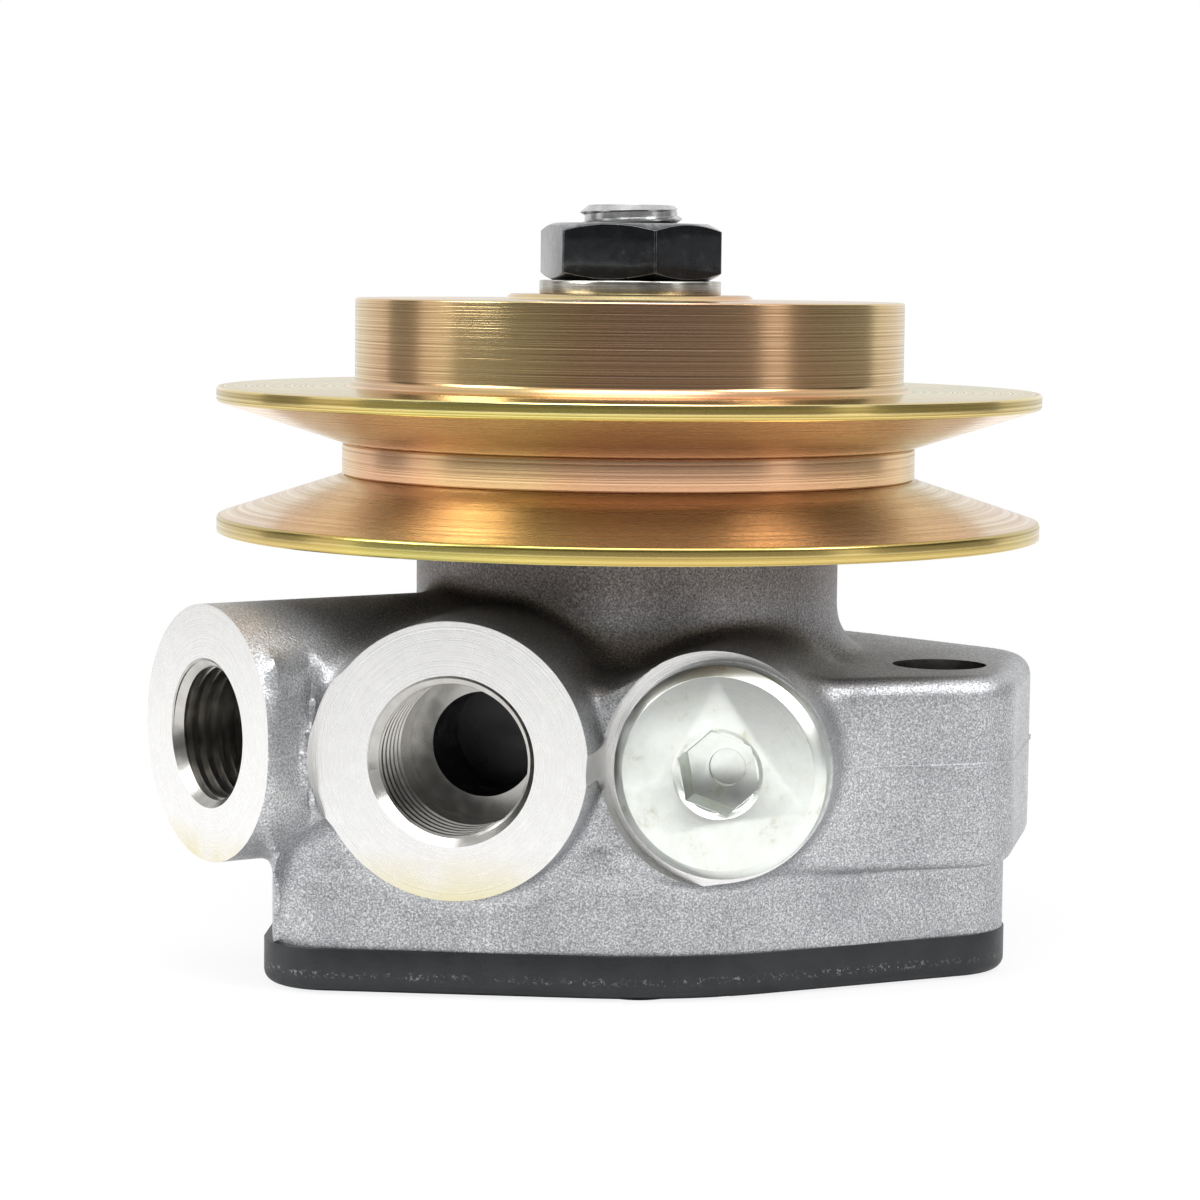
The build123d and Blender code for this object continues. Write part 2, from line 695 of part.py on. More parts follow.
# Rotor set: the inner rotor on the shaft drives the outer rotor, which turns about a shifted axis
with BuildPart() as inner_rotor:
    with BuildSketch(Plane.XY.offset(rotor_z)):
        with BuildLine():
            Spline(*inner_rotor_points(), periodic=True)
        make_face()
        Circle(journal_r + static_fit, mode=Mode.SUBTRACT)
        with Locations((journal_r, 0)):
            Rectangle(key_h, key_w, mode=Mode.SUBTRACT)
    extrude(amount=rotor_t)
inner_rotor.part.label = "inner_rotor"
export_step(inner_rotor.part, "parts/inner_rotor.step")

with BuildPart() as outer_rotor:
    with BuildSketch(Plane((shift_x, shift_y, rotor_z))):
        Circle(outer_rotor_r)
    extrude(amount=rotor_t)
    with BuildSketch(Plane((shift_x, shift_y, rotor_z))):
        Circle(outer_root_r)
        with PolarLocations(tooth_circle_at, outer_teeth, shift_angle):
            Circle(tooth_circle_r, mode=Mode.SUBTRACT)
    extrude(amount=rotor_t, mode=Mode.SUBTRACT)
outer_rotor.part.label = "outer_rotor"
export_step(outer_rotor.part, "parts/outer_rotor.step")

# Plug with a hexagon socket that closes the relief bore and holds its spring
with BuildPart() as relief_plug:
    with BuildSketch(relief_plane.offset(sealing_ring_t)):
        Circle(plug_thread_r - running_fit)
    extrude(amount=-plug_thread_l)
    chamfer(relief_plug.faces().sort_by(Axis.Y)[-1].edges(), plug_end_chamfer)
    with BuildSketch(relief_plane.offset(sealing_ring_t)):
        Circle(plug_head_r)
    extrude(amount=plug_head_t)
    chamfer(relief_plug.faces().sort_by(Axis.Y)[0].edges(), plug_head_chamfer)
    with BuildSketch(plug_face_plane):
        RegularPolygon(plug_socket_across / 2, 6, major_radius=False, rotation=plug_socket_turn)
    extrude(amount=-plug_socket_depth, mode=Mode.SUBTRACT)
    countersink(plug_face_plane, plug_socket_lead_r, plug_socket_lead)
    blind_hole(plug_face_plane, plug_drill_r, plug_socket_depth + plug_drill_depth)
    blind_hole(Plane((relief_x, plug_inner_y, relief_z), z_dir=(0, 1, 0)), plug_bore_r, plug_bore_depth)
relief_plug.part.label = "relief_plug"
export_step(relief_plug.part, "parts/relief_plug.step")

with BuildPart() as plug_sealing_ring:
    with BuildSketch(relief_plane):
        Circle(sealing_ring_r)
        Circle(plug_thread_r + port_chamfer, mode=Mode.SUBTRACT)
    extrude(amount=sealing_ring_t)
plug_sealing_ring.part.label = "plug_sealing_ring"
export_step(plug_sealing_ring.part, "parts/plug_sealing_ring.step")

# Cup-shaped relief valve that covers the return hole until the pressure lifts it off its seat
with BuildPart() as relief_valve:
    with BuildSketch(Plane((relief_x, relief_seat_y - face_gap, relief_z), z_dir=(0, -1, 0))):
        Circle(relief_bore_r - running_fit)
    extrude(amount=relief_valve_l)
    blind_hole(
        Plane((relief_x, relief_seat_y - face_gap - relief_valve_l, relief_z), z_dir=(0, -1, 0)),
        relief_bore_r - relief_valve_wall,
        relief_valve_l - relief_valve_floor,
    )
relief_valve.part.label = "relief_valve"
export_step(relief_valve.part, "parts/relief_valve.step")

# Coil spring between the relief valve and the plug
with BuildPart() as relief_spring:
    with BuildLine() as coil:
        Helix(
            spring_l / spring_turns,
            spring_l,
            spring_mean_r,
            center=(relief_x, spring_start_y + spring_wire_r + face_gap, relief_z),
            direction=(0, 1, 0),
        )
    with BuildSketch(Plane(origin=coil.line @ 0, z_dir=coil.line % 0)):
        Circle(spring_wire_r)
    sweep(path=coil.line, is_frenet=True)
relief_spring.part.label = "relief_spring"
export_step(relief_spring.part, "parts/relief_spring.step")

# Belt pulley, turned in one piece, deep over the bearing neck
with BuildPart() as drive_pulley:
    with BuildSketch(Plane.XZ):
        with BuildLine():
            Polyline(
                (hub_r, upper_rim_top_z + hub_cove_r),
                (hub_r, hub_top_z - hub_chamfer),
                (hub_r - hub_chamfer, hub_top_z),
                (boss_r, hub_top_z),
                (boss_r - boss_top_z + hub_top_z, boss_top_z),
                (pulley_seat_r + static_fit, boss_top_z),
                (pulley_seat_r + static_fit, cup_floor_z),
                (cup_r, cup_floor_z),
                (cup_r, pulley_z),
                (pulley_r - rim_chamfer, pulley_z),
                (pulley_r, pulley_z + rim_chamfer),
                (pulley_r, groove_z),
                (groove_root_r, pulley_mid_z - root_w / 2),
                (groove_root_r, pulley_mid_z - band_h / 2),
                (groove_root_r + band_out, pulley_mid_z - band_h / 2),
                (groove_root_r + band_out, pulley_mid_z + band_h / 2),
                (groove_root_r, pulley_mid_z + band_h / 2),
                (groove_root_r, pulley_mid_z + root_w / 2),
                (pulley_r, upper_rim_z),
                (pulley_r, upper_rim_top_z - rim_chamfer),
                (pulley_r - rim_chamfer, upper_rim_top_z),
                (hub_r + hub_cove_r, upper_rim_top_z),
            )
            CenterArc((hub_r + hub_cove_r, upper_rim_top_z + hub_cove_r), hub_cove_r, 180, 90)
        make_face()
    revolve(axis=Axis.Z)
    with BuildSketch(Plane.XY.offset(cup_floor_z)):
        with Locations((pulley_seat_r, 0)):
            Rectangle(key_h, key_w)
    extrude(amount=boss_top_z - cup_floor_z, mode=Mode.SUBTRACT)
drive_pulley.part.label = "drive_pulley"
export_step(drive_pulley.part, "parts/drive_pulley.step")

# Spacer from the bearing's inner ring to the floor of the pulley cup
with BuildPart() as pulley_spacer:
    with BuildSketch(Plane.XY.offset(bearing_top_z)):
        Circle(spacer_r)
        Circle(bearing_seat_r + static_fit, mode=Mode.SUBTRACT)
    extrude(amount=spacer_l)
pulley_spacer.part.label = "pulley_spacer"
export_step(pulley_spacer.part, "parts/pulley_spacer.step")

# Washer and thin hexagon nut on the stud
with BuildPart() as pulley_washer:
    with BuildSketch(Plane.XY.offset(washer_z)):
        Circle(washer_r)
        Circle(washer_hole_r, mode=Mode.SUBTRACT)
    extrude(amount=washer_t)
pulley_washer.part.label = "pulley_washer"
export_step(pulley_washer.part, "parts/pulley_washer.step")

with BuildPart() as pulley_nut:
    with BuildSketch(Plane.XY.offset(nut_z)):
        RegularPolygon(nut_across / 2, 6, major_radius=False, rotation=nut_turn)
    extrude(amount=nut_t)
    with BuildSketch(Plane.XZ):
        add_profile([
            (0, nut_z),
            (nut_chamfer_r, nut_z),
            (nut_corner_r, nut_z + nut_chamfer),
            (nut_corner_r, nut_z + nut_t - nut_chamfer),
            (nut_chamfer_r, nut_z + nut_t),
            (0, nut_z + nut_t),
        ])
    revolve(axis=Axis.Z, mode=Mode.INTERSECT)
    with BuildSketch(Plane.XY.offset(nut_z)):
        Circle(stud_core_r + static_fit)
    extrude(amount=nut_t, mode=Mode.SUBTRACT)
    countersink(Plane.XY.offset(nut_z + nut_t), stud_core_r + static_fit + nut_lead, nut_lead)
pulley_nut.part.label = "pulley_nut"
export_step(pulley_nut.part, "parts/pulley_nut.step")
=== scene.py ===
"""Looks of a belt-driven fuel lift pump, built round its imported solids, in metres on the pump's own axes.

Sizes named here are in millimetres and are turned into metres where a mesh is made.
"""

import math

import bmesh
import bpy
import numpy as np
from mathutils import Matrix, Quaternion, Vector

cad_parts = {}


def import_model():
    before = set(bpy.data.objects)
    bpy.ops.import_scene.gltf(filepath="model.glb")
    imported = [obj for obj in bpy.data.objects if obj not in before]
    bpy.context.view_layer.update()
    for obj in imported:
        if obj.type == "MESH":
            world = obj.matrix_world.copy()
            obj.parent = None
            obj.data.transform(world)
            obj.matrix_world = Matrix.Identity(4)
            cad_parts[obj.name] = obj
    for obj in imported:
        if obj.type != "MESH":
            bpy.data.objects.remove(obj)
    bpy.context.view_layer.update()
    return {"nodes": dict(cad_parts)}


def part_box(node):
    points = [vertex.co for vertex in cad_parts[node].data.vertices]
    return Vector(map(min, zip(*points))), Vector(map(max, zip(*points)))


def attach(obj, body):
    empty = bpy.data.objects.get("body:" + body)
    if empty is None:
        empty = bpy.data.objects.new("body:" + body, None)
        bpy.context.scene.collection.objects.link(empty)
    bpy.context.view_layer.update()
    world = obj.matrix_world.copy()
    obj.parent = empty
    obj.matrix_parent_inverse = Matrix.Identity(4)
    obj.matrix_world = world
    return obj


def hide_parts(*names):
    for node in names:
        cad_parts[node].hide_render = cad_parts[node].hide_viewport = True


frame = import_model()
nodes = frame["nodes"]

MM = 0.001
CAST_BODY = "pump_body"
TURNING_BODY = "rotating_group"

# Heights read from the solids
cover_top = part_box("cover_plate")[1].z / MM
neck_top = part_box("housing")[1].z / MM
nut_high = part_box("pulley_nut")[1].z / MM
shaft_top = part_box("pump_shaft")[1].z / MM
pulley_low, pulley_high = (corner.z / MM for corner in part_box("drive_pulley"))
pulley_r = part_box("drive_pulley")[1].x / MM

# Casting outline, as (x, y, radius) circles with a wall drawn tight round them
body_circle = (0.0, 0.0, 36.4)
corner_circle = (-25.1, -32.8, 7.0)
mount_r = 38.5
mount_places = [
    (mount_r * math.cos(math.radians(a)), mount_r * math.sin(math.radians(a))) for a in (-10.5, 88.0, 152.0)
]
mount_hole_r = 5.3
flange_r = 7.7
round_lug_r = 9.8
front_lug_circles = [(39.1, -11.8, 8.0), (35.4, 5.4, 11.6)]
lug_low = 13.0
lug_high = 34.5
lug_edge_r = 2.4
lug_under_r = 2.0
neck_r = 24.7

# Ports: the centre of a face, the way out of the port, and its boss
inlet_face = Vector((-9.7, -43.5, 26.4))
inlet_out = Vector((0, -1, 0))
inlet_boss_r = 15.0
inlet_boss_l = 34.0
outlet_turn = math.radians(43.0)
outlet_out = Vector((-math.sin(outlet_turn), -math.cos(outlet_turn), 0))
outlet_reach = 55.6
outlet_face = outlet_out * outlet_reach + Vector((0, 0, 28.0))
outlet_boss_r = 14.1
outlet_boss_l = 46.0
relief_face = Vector((18.3, -33.7, 25.55))
relief_boss_x = 17.1
relief_boss_r = 12.6
relief_boss_end = -14.0

# Cutters that face off the three bosses
relief_cutter_r = 13.2
inlet_cutter_r = 15.35
outlet_cutter_r = 16.0

# Flat wall between the two ports: its ends in plan, top, sloping foot, and the bounds of the metal behind it
wall_front = Vector((-27.3, -49.2))
wall_back = Vector((-25.1, -42.9))
wall_top_z = 37.4
wall_top_r = 2.6
wall_foot_z = 25.0
wall_slope = math.radians(20)
wall_side = (-0.976, -0.216)
wall_side_reach = 38.2
wall_behind_outlet = 1.2
wall_end_y = -30.0
wall_bottom_z = cover_top - 2.5
room_shoulder = 0.2

# Casting skin: its grid, the stock left on the machined faces, its sharp rims and its fillets
skin_step = 0.66
skin_low = (-58.0, -56.0, cover_top - 4.5)
skin_high = (50.0, 51.0, neck_top + 3.0)
stock = 1.5
sharp_rim_r = 0.3
base_fillet = 0.8
wall_fillet = 1.0
relief_fillet = 1.5
lug_fillet = 2.0
boss_fillet = 2.4
neck_fillet = 5.0

# Parting line: its height on the right and the back, and on the left, then its rise and half its width
flash_right_z = 24.9
flash_left_z = 26.9
flash_out = 0.32
flash_half = 0.3

# Threads, 1.5 mm pitch
pitch = 1.5
inlet_minor_r, inlet_major_r = 8.2, 9.05
outlet_minor_r, outlet_major_r = 7.2, 8.05
inlet_mouth_r, outlet_mouth_r = 9.4, 8.4
inlet_tap_depth, outlet_tap_depth = 10.5, 12.0
stud_core_r, stud_crest_r = 5.3, 5.95


# Small helpers

def hex_colour(code):
    """Linear RGBA from an sRGB hex code."""
    parts = [int(code[i:i + 2], 16) / 255 for i in (0, 2, 4)]
    return [p / 12.92 if p <= 0.04045 else ((p + 0.055) / 1.055) ** 2.4 for p in parts] + [1.0]


def add(tree, kind, inputs=None, **settings):
    """Adds a node, sets its settings, and sets or links its inputs."""
    made = tree.nodes.new(kind)
    for name, value in settings.items():
        setattr(made, name, value)
    for key, value in (inputs or {}).items():
        if isinstance(value, bpy.types.NodeSocket):
            tree.links.new(value, made.inputs[key])
        else:
            made.inputs[key].default_value = value
    return made


def new_object(name, mesh):
    """A linked object that holds the mesh."""
    made = bpy.data.objects.new(name, mesh)
    bpy.context.scene.collection.objects.link(made)
    return made


def applied(thing):
    """Replaces an object's mesh by the one that its modifiers make, and removes them."""
    depsgraph = bpy.context.evaluated_depsgraph_get()
    mesh = bpy.data.meshes.new_from_object(thing.evaluated_get(depsgraph))
    thing.modifiers.clear()
    old = thing.data
    thing.data = mesh
    if old.users == 0:
        bpy.data.meshes.remove(old)
    return thing


def shade(thing, angle=32):
    """Smooth shading with creases kept sharp."""
    thing.data.polygons.foreach_set("use_smooth", [True] * len(thing.data.polygons))
    thing.data.set_sharp_from_angle(angle=math.radians(angle))


def rounded(points, radius, steps=3):
    """The (r, h) profile with each inner corner replaced by a short arc-like run of points."""
    made = [points[0]]
    for before, corner, after in zip(points, points[1:], points[2:]):
        b, c, a = Vector(before), Vector(corner), Vector(after)
        reach = min(radius, (b - c).length * 0.45, (a - c).length * 0.45)
        start = c + (b - c).normalized() * reach
        end = c + (a - c).normalized() * reach
        for i in range(steps + 1):
            t = i / steps
            made.append(tuple((1 - t) ** 2 * start + 2 * t * (1 - t) * c + t * t * end))
    return made + [points[-1]]


def turned(name, profile, materials, segments=192, origin=Vector(), out=Vector((0, 0, 1)), bands=None):
    """A closed solid of revolution from an (r, h) profile that ends on the axis or closes on itself.

    bands gives a material index for a point of the profile; the default is 0 everywhere.
    """
    bm = bmesh.new()
    turn = out.to_track_quat("Z", "Y")
    rings = []
    for r, h in profile:
        if r < 1e-6:
            rings.append([bm.verts.new((origin + turn @ Vector((0, 0, h))) * MM)])
            continue
        ring = []
        for i in range(segments):
            a = 2 * math.pi * i / segments
            ring.append(bm.verts.new((origin + turn @ Vector((r * math.cos(a), r * math.sin(a), h))) * MM))
        rings.append(ring)
    pairs = list(zip(rings, rings[1:]))
    spans = list(zip(profile, profile[1:]))
    if len(rings[0]) > 1:
        pairs.append((rings[-1], rings[0]))
        spans.append((profile[-1], profile[0]))
    for (low, high), (p, q) in zip(pairs, spans):
        index = bands((p[0] + q[0]) / 2, (p[1] + q[1]) / 2) if bands else 0
        for i in range(segments):
            j = (i + 1) % segments
            corners = [low[i % len(low)], low[j % len(low)], high[j % len(high)], high[i % len(high)]]
            face = bm.faces.new(list(dict.fromkeys(corners)))
            face.material_index = index
    bmesh.ops.recalc_face_normals(bm, faces=bm.faces)
    mesh = bpy.data.meshes.new(name)
    bm.to_mesh(mesh)
    bm.free()
    for material in materials:
        mesh.materials.append(material)
    return new_object(name, mesh)


def cut(target, cutter, operation="DIFFERENCE"):
    """Cuts a closed solid out of the target, which takes the cutter's material on the cut faces."""
    made = target.modifiers.new("cut", "BOOLEAN")
    made.operation = operation
    made.solver = "MANIFOLD"
    made.material_mode = "TRANSFER"
    made.object = cutter
    applied(target)
    bpy.data.objects.remove(cutter)


# Materials

def metal(name, colour, roughness, metallic=1.0):
    """A Principled material that is ready for a pattern: the material, its tree, shader and position."""
    material = bpy.data.materials.new(name)
    material.use_nodes = True
    tree = material.node_tree
    shader = tree.nodes["Principled BSDF"]
    shader.inputs["Base Color"].default_value = hex_colour(colour)
    shader.inputs["Roughness"].default_value = roughness
    shader.inputs["Metallic"].default_value = metallic
    place = add(tree, "ShaderNodeTexCoord").outputs["Object"]
    return material, tree, shader, place


def noise(tree, place, size_mm, detail=2.0, roughness=0.5, stretch=(1, 1, 1)):
    """A noise value whose features are about size_mm across, stretched along the axes."""
    scale = [s / (size_mm * MM) for s in stretch]
    point = add(tree, "ShaderNodeMapping", {"Vector": place, "Scale": scale})
    made = add(
        tree, "ShaderNodeTexNoise",
        {"Vector": point.outputs[0], "Scale": 1.0, "Detail": detail, "Roughness": roughness},
    )
    return made.outputs["Fac"]


def ramp(tree, value, stops):
    """A colour ramp from (position, hex) stops."""
    made = add(tree, "ShaderNodeValToRGB", {"Fac": value})
    while len(made.color_ramp.elements) < len(stops):
        made.color_ramp.elements.new(0.5)
    for element, (position, code) in zip(made.color_ramp.elements, stops):
        element.position = position
        element.color = hex_colour(code)
    return made.outputs["Color"]


def span(tree, value, low, high, to_low, to_high):
    """The value moved from one range to another, held at the ends."""
    made = add(
        tree, "ShaderNodeMapRange",
        {"Value": value, "From Min": low, "From Max": high, "To Min": to_low, "To Max": to_high},
    )
    return made.outputs["Result"]


def mix(tree, factor, first, second, blend="MIX"):
    """Two colours mixed by a factor."""
    made = add(tree, "ShaderNodeMix", data_type="RGBA", blend_type=blend)
    for socket, value in ((made.inputs[0], factor), (made.inputs[6], first), (made.inputs[7], second)):
        if isinstance(value, bpy.types.NodeSocket):
            tree.links.new(value, socket)
        else:
            socket.default_value = value
    return made.outputs[2]


def maths(tree, operation, first, second=0.0):
    """One Math node."""
    return add(tree, "ShaderNodeMath", {0: first, 1: second}, operation=operation).outputs[0]


def from_axis(tree, place, first=0, second=1):
    """The distance from the axis that is square to two coordinates, and all three coordinates."""
    parts = add(tree, "ShaderNodeSeparateXYZ", {0: place}).outputs
    flat = add(tree, "ShaderNodeCombineXYZ", {0: parts[first], 1: parts[second]})
    radius = add(tree, "ShaderNodeVectorMath", {0: flat.outputs[0]}, operation="LENGTH").outputs["Value"]
    return radius, parts


def line_noise(tree, along, spacing_mm, detail=2.0, roughness=0.5):
    """Noise in one dimension, as lines about spacing_mm apart."""
    steps = maths(tree, "DIVIDE", along, spacing_mm * MM)
    made = add(
        tree, "ShaderNodeTexNoise",
        {"W": steps, "Scale": 1.0, "Detail": detail, "Roughness": roughness}, noise_dimensions="1D",
    )
    return made.outputs["Fac"]


def bump(tree, shader, height, depth_mm, under=None):
    """Adds a relief of the given depth to the shader, over an earlier one if there is one."""
    inputs = {"Height": height, "Distance": depth_mm * MM, "Strength": 1.0}
    if under is not None:
        inputs["Normal"] = under
    made = add(tree, "ShaderNodeBump", inputs)
    tree.links.new(made.outputs[0], shader.inputs["Normal"])
    return made.outputs[0]


def cast_aluminium():
    """Die-cast aluminium, shot blasted: a grey of tiny bright and dark dimples, with a few pits whose
    near-black colour is painted shade, and painted shade on the neck under the pulley.
    """
    material, tree, shader, place = metal("die_cast_aluminium_shot_blasted", "A9AAAC", 0.5)
    grain = noise(tree, place, 0.2, 2.0, 0.6)
    cloud = noise(tree, place, 9.0, 3.0)
    speckle = ramp(tree, grain, [(0.3, "8B8C8E"), (0.5, "B2B3B5"), (0.68, "E2E3E5")])
    tone = ramp(tree, cloud, [(0.3, "E8E8E9"), (0.7, "FFFFFF")])
    colour = mix(tree, 1.0, speckle, tone, "MULTIPLY")
    # Painted shade: the neck under the pulley, near the axis and high up, is darkened with a warm grey.
    radius, parts = from_axis(tree, place)
    near_axis = span(tree, radius, 0.026, 0.034, 1.0, 0.0)
    neck_painted_shade = maths(tree, "MULTIPLY", near_axis, span(tree, parts[2], 0.034, 0.044, 0.0, 1.0))
    colour = mix(tree, neck_painted_shade, colour, mix(tree, 1.0, colour, hex_colour("B7AEA8"), "MULTIPLY"))
    # Pits: a real dent in the bump, and a near-black colour in them that is painted shade.
    pits = noise(tree, place, 2.2, 4.0, 0.75)
    pit_with_painted_shade = span(tree, pits, 0.735, 0.76, 0.0, 1.0)
    tree.links.new(mix(tree, pit_with_painted_shade, colour, hex_colour("2A2A2B")), shader.inputs["Base Color"])
    tree.links.new(span(tree, grain, 0.3, 0.7, 0.58, 0.42), shader.inputs["Roughness"])
    shape = noise(tree, place, 0.32, 2.0, 0.6)
    first = bump(tree, shader, shape, 0.05)
    bump(tree, shader, maths(tree, "MULTIPLY", pit_with_painted_shade, -1.0), 0.1, under=first)
    return material


def milled_aluminium(name, face, out, stain):
    """Face-milled aluminium: bright, with the cutter's fine rings and a faint oil stain at the bottom."""
    material, tree, shader, place = metal(name, "D9D8D6", 0.34)
    turn = out.to_track_quat("Z", "Y")
    local = add(
        tree, "ShaderNodeMapping",
        {"Vector": place, "Location": face * MM, "Rotation": turn.to_euler()}, vector_type="TEXTURE",
    ).outputs[0]
    radius = from_axis(tree, local)[0]
    wobble = maths(tree, "MULTIPLY", noise(tree, place, 6.0, 2.0), 0.4 * MM)
    rings = line_noise(tree, maths(tree, "ADD", radius, wobble), 0.2)
    smear = noise(tree, place, 1.6, 4.0, 0.65)
    colour = ramp(tree, rings, [(0.3, "D2D1D0"), (0.6, "DDDCDB")])
    colour = mix(tree, span(tree, smear, 0.45, 0.75, 0.0, 0.35), colour, hex_colour("E9E8E6"))
    height = add(tree, "ShaderNodeSeparateXYZ", {0: place}).outputs[2]
    drop = span(tree, height, (face.z - stain[1]) * MM, (face.z - stain[0]) * MM, 1.0, 0.0)
    stained = maths(tree, "MULTIPLY", drop, span(tree, noise(tree, place, 5.0), 0.35, 0.6, 0.4, 1.0))
    colour = mix(tree, maths(tree, "MULTIPLY", stained, 0.75), colour, hex_colour("CFC48E"))
    tree.links.new(colour, shader.inputs["Base Color"])
    tree.links.new(span(tree, rings, 0.3, 0.7, 0.24, 0.38), shader.inputs["Roughness"])
    bump(tree, shader, rings, 0.006)
    return material


def bored_aluminium():
    """Tapped and bored aluminium: bright, a little darker than the milled faces because oil stays in."""
    material, tree, shader, place = metal("bored_aluminium_oiled", "B9B8B4", 0.24)
    streak = noise(tree, place, 1.6, 1.0)
    tree.links.new(ramp(tree, streak, [(0.3, "A4A29E"), (0.7, "B4B2AE")]), shader.inputs["Base Color"])
    tree.links.new(span(tree, streak, 0.3, 0.7, 0.22, 0.27), shader.inputs["Roughness"])
    bump(tree, shader, streak, 0.002)
    return material


def passage_painted_shade_material():
    """Drilled passage: almost black, as painted shade, so that the eye reads it as deep."""
    material, tree, shader, place = metal("drilled_passage_painted_shade", "0E0F11", 0.3, metallic=0.0)
    patches = noise(tree, place, 2.0, 2.0)
    # Painted shade: a near-black colour stands for the shade deep in the passage.
    tree.links.new(ramp(tree, patches, [(0.3, "090A0B"), (0.7, "16171A")]), shader.inputs["Base Color"])
    tree.links.new(span(tree, patches, 0.3, 0.7, 0.26, 0.4), shader.inputs["Roughness"])
    bump(tree, shader, patches, 0.01)
    return material


def turning_lines(tree, place, spacing_mm, detail=2.0):
    """Noise that runs round the pump's axis in fine lines, on walls, cones and faces alike."""
    radius, parts = from_axis(tree, place)
    along = maths(tree, "ADD", maths(tree, "MULTIPLY", radius, 1.13), parts[2])
    return line_noise(tree, along, spacing_mm, detail, 0.65)


def chromate(name, dark, middle, light, roughness, spacing_mm, relief_mm, copper=0.45):
    """Turned steel, zinc plated and yellow chromated: a gold film that drifts to copper, pink and olive."""
    material, tree, shader, place = metal(name, middle, roughness)
    lines = turning_lines(tree, place, spacing_mm)
    colour = ramp(tree, lines, [(0.28, dark), (0.5, middle), (0.72, light)])
    patches = noise(tree, place, 26.0, 1.5, 0.5, (1, 1, 0.35))
    tint = ramp(tree, patches, [(0.32, "A8B06A"), (0.44, "FFE9B0"), (0.56, "F0B48C"), (0.66, "E7A9A0")])
    colour = mix(tree, copper, colour, mix(tree, 1.0, colour, tint, "MULTIPLY"))
    tree.links.new(colour, shader.inputs["Base Color"])
    rough = span(tree, lines, 0.3, 0.7, roughness + 0.06, roughness - 0.05)
    tree.links.new(rough, shader.inputs["Roughness"])
    broad = turning_lines(tree, place, spacing_mm * 4)
    first = bump(tree, shader, lines, relief_mm)
    bump(tree, shader, broad, relief_mm * 0.6, under=first)
    return material


def zinc(name, face):
    """Bright zinc on a turned plug: cool white metal with faint smudges and rings round its own axis."""
    material, tree, shader, place = metal(name, "DDE2DE", 0.24)
    smudge = noise(tree, place, 3.2, 6.0, 0.7)
    colour = ramp(tree, smudge, [(0.3, "BDBBA9"), (0.42, "D6D9D3"), (0.7, "DEE2DF")])
    tree.links.new(colour, shader.inputs["Base Color"])
    local = add(tree, "ShaderNodeVectorMath", {0: place, 1: face * MM}, operation="SUBTRACT").outputs[0]
    rings = line_noise(tree, from_axis(tree, local, 0, 2)[0], 0.35)
    tree.links.new(span(tree, smudge, 0.3, 0.7, 0.38, 0.28), shader.inputs["Roughness"])
    first = bump(tree, shader, rings, 0.005)
    bump(tree, shader, noise(tree, place, 0.8, 4.0, 0.6), 0.008, under=first)
    return material


def black_oxide(name, dark, light, roughness):
    """Blackened steel: blue-black with a soft sheen and small rubbed spots."""
    material, tree, shader, place = metal(name, dark, roughness, metallic=0.75)
    shader.inputs["Coat Weight"].default_value = 0.7
    shader.inputs["Coat Roughness"].default_value = 0.12
    rub = noise(tree, place, 1.3, 5.0, 0.7)
    colour = ramp(tree, rub, [(0.42, dark), (0.62, light), (0.75, "5C6066")])
    tree.links.new(colour, shader.inputs["Base Color"])
    tree.links.new(span(tree, rub, 0.3, 0.7, roughness + 0.08, roughness - 0.08), shader.inputs["Roughness"])
    bump(tree, shader, noise(tree, place, 0.25, 2.0), 0.02)
    return material


def black_paint():
    """Black enamel on a blanked plate: nearly matt, with a chipped line of pale specks along its side."""
    material, tree, shader, place = metal("black_enamel_on_blanked_steel", "181B1F", 0.4, metallic=0.0)
    height = add(tree, "ShaderNodeSeparateXYZ", {0: place}).outputs[2]
    centre = cover_top * 0.42 * MM
    off = maths(tree, "ABSOLUTE", maths(tree, "SUBTRACT", height, centre))
    near = span(tree, off, 0.1 * MM, 0.55 * MM, 1.0, 0.0)
    specks = noise(tree, place, 0.5, 4.0, 0.8)
    long_run = noise(tree, place, 12.0, 2.0)
    worn = maths(tree, "MULTIPLY", near, span(tree, specks, 0.56, 0.62, 0.0, 1.0))
    worn = maths(tree, "MULTIPLY", worn, span(tree, long_run, 0.4, 0.6, 0.35, 1.0))
    base = ramp(tree, noise(tree, place, 3.0, 3.0), [(0.35, "121518"), (0.65, "1C1F23")])
    tree.links.new(mix(tree, worn, base, hex_colour("8E9194")), shader.inputs["Base Color"])
    tree.links.new(span(tree, specks, 0.3, 0.7, 0.5, 0.34), shader.inputs["Roughness"])
    first = bump(tree, shader, noise(tree, place, 0.5, 3.0), 0.03)
    bump(tree, shader, worn, 0.05, under=first)
    return material


def turned_steel(name, colour, roughness, spacing_mm=0.2):
    """Turned bright steel: fine rings and a slight grey cloud."""
    material, tree, shader, place = metal(name, colour, roughness)
    lines = turning_lines(tree, place, spacing_mm)
    cloud = ramp(tree, noise(tree, place, 2.5, 4.0), [(0.3, "B8B8B8"), (0.7, "FFFFFF")])
    tree.links.new(mix(tree, 1.0, hex_colour(colour), cloud, "MULTIPLY"), shader.inputs["Base Color"])
    rough = span(tree, lines, 0.3, 0.7, roughness + 0.05, roughness - 0.05)
    tree.links.new(rough, shader.inputs["Roughness"])
    bump(tree, shader, lines, 0.01)
    return material


def plain_metal(name, first, second, roughness, grain_mm=0.6):
    """Bearing, rotor and bush metals inside the pump: an even fine grain."""
    material, tree, shader, place = metal(name, first, roughness)
    grain = noise(tree, place, grain_mm, 3.0)
    tree.links.new(ramp(tree, grain, [(0.3, first), (0.7, second)]), shader.inputs["Base Color"])
    rough = span(tree, grain, 0.3, 0.7, roughness + 0.06, roughness - 0.06)
    tree.links.new(rough, shader.inputs["Roughness"])
    bump(tree, shader, grain, 0.01)
    return material


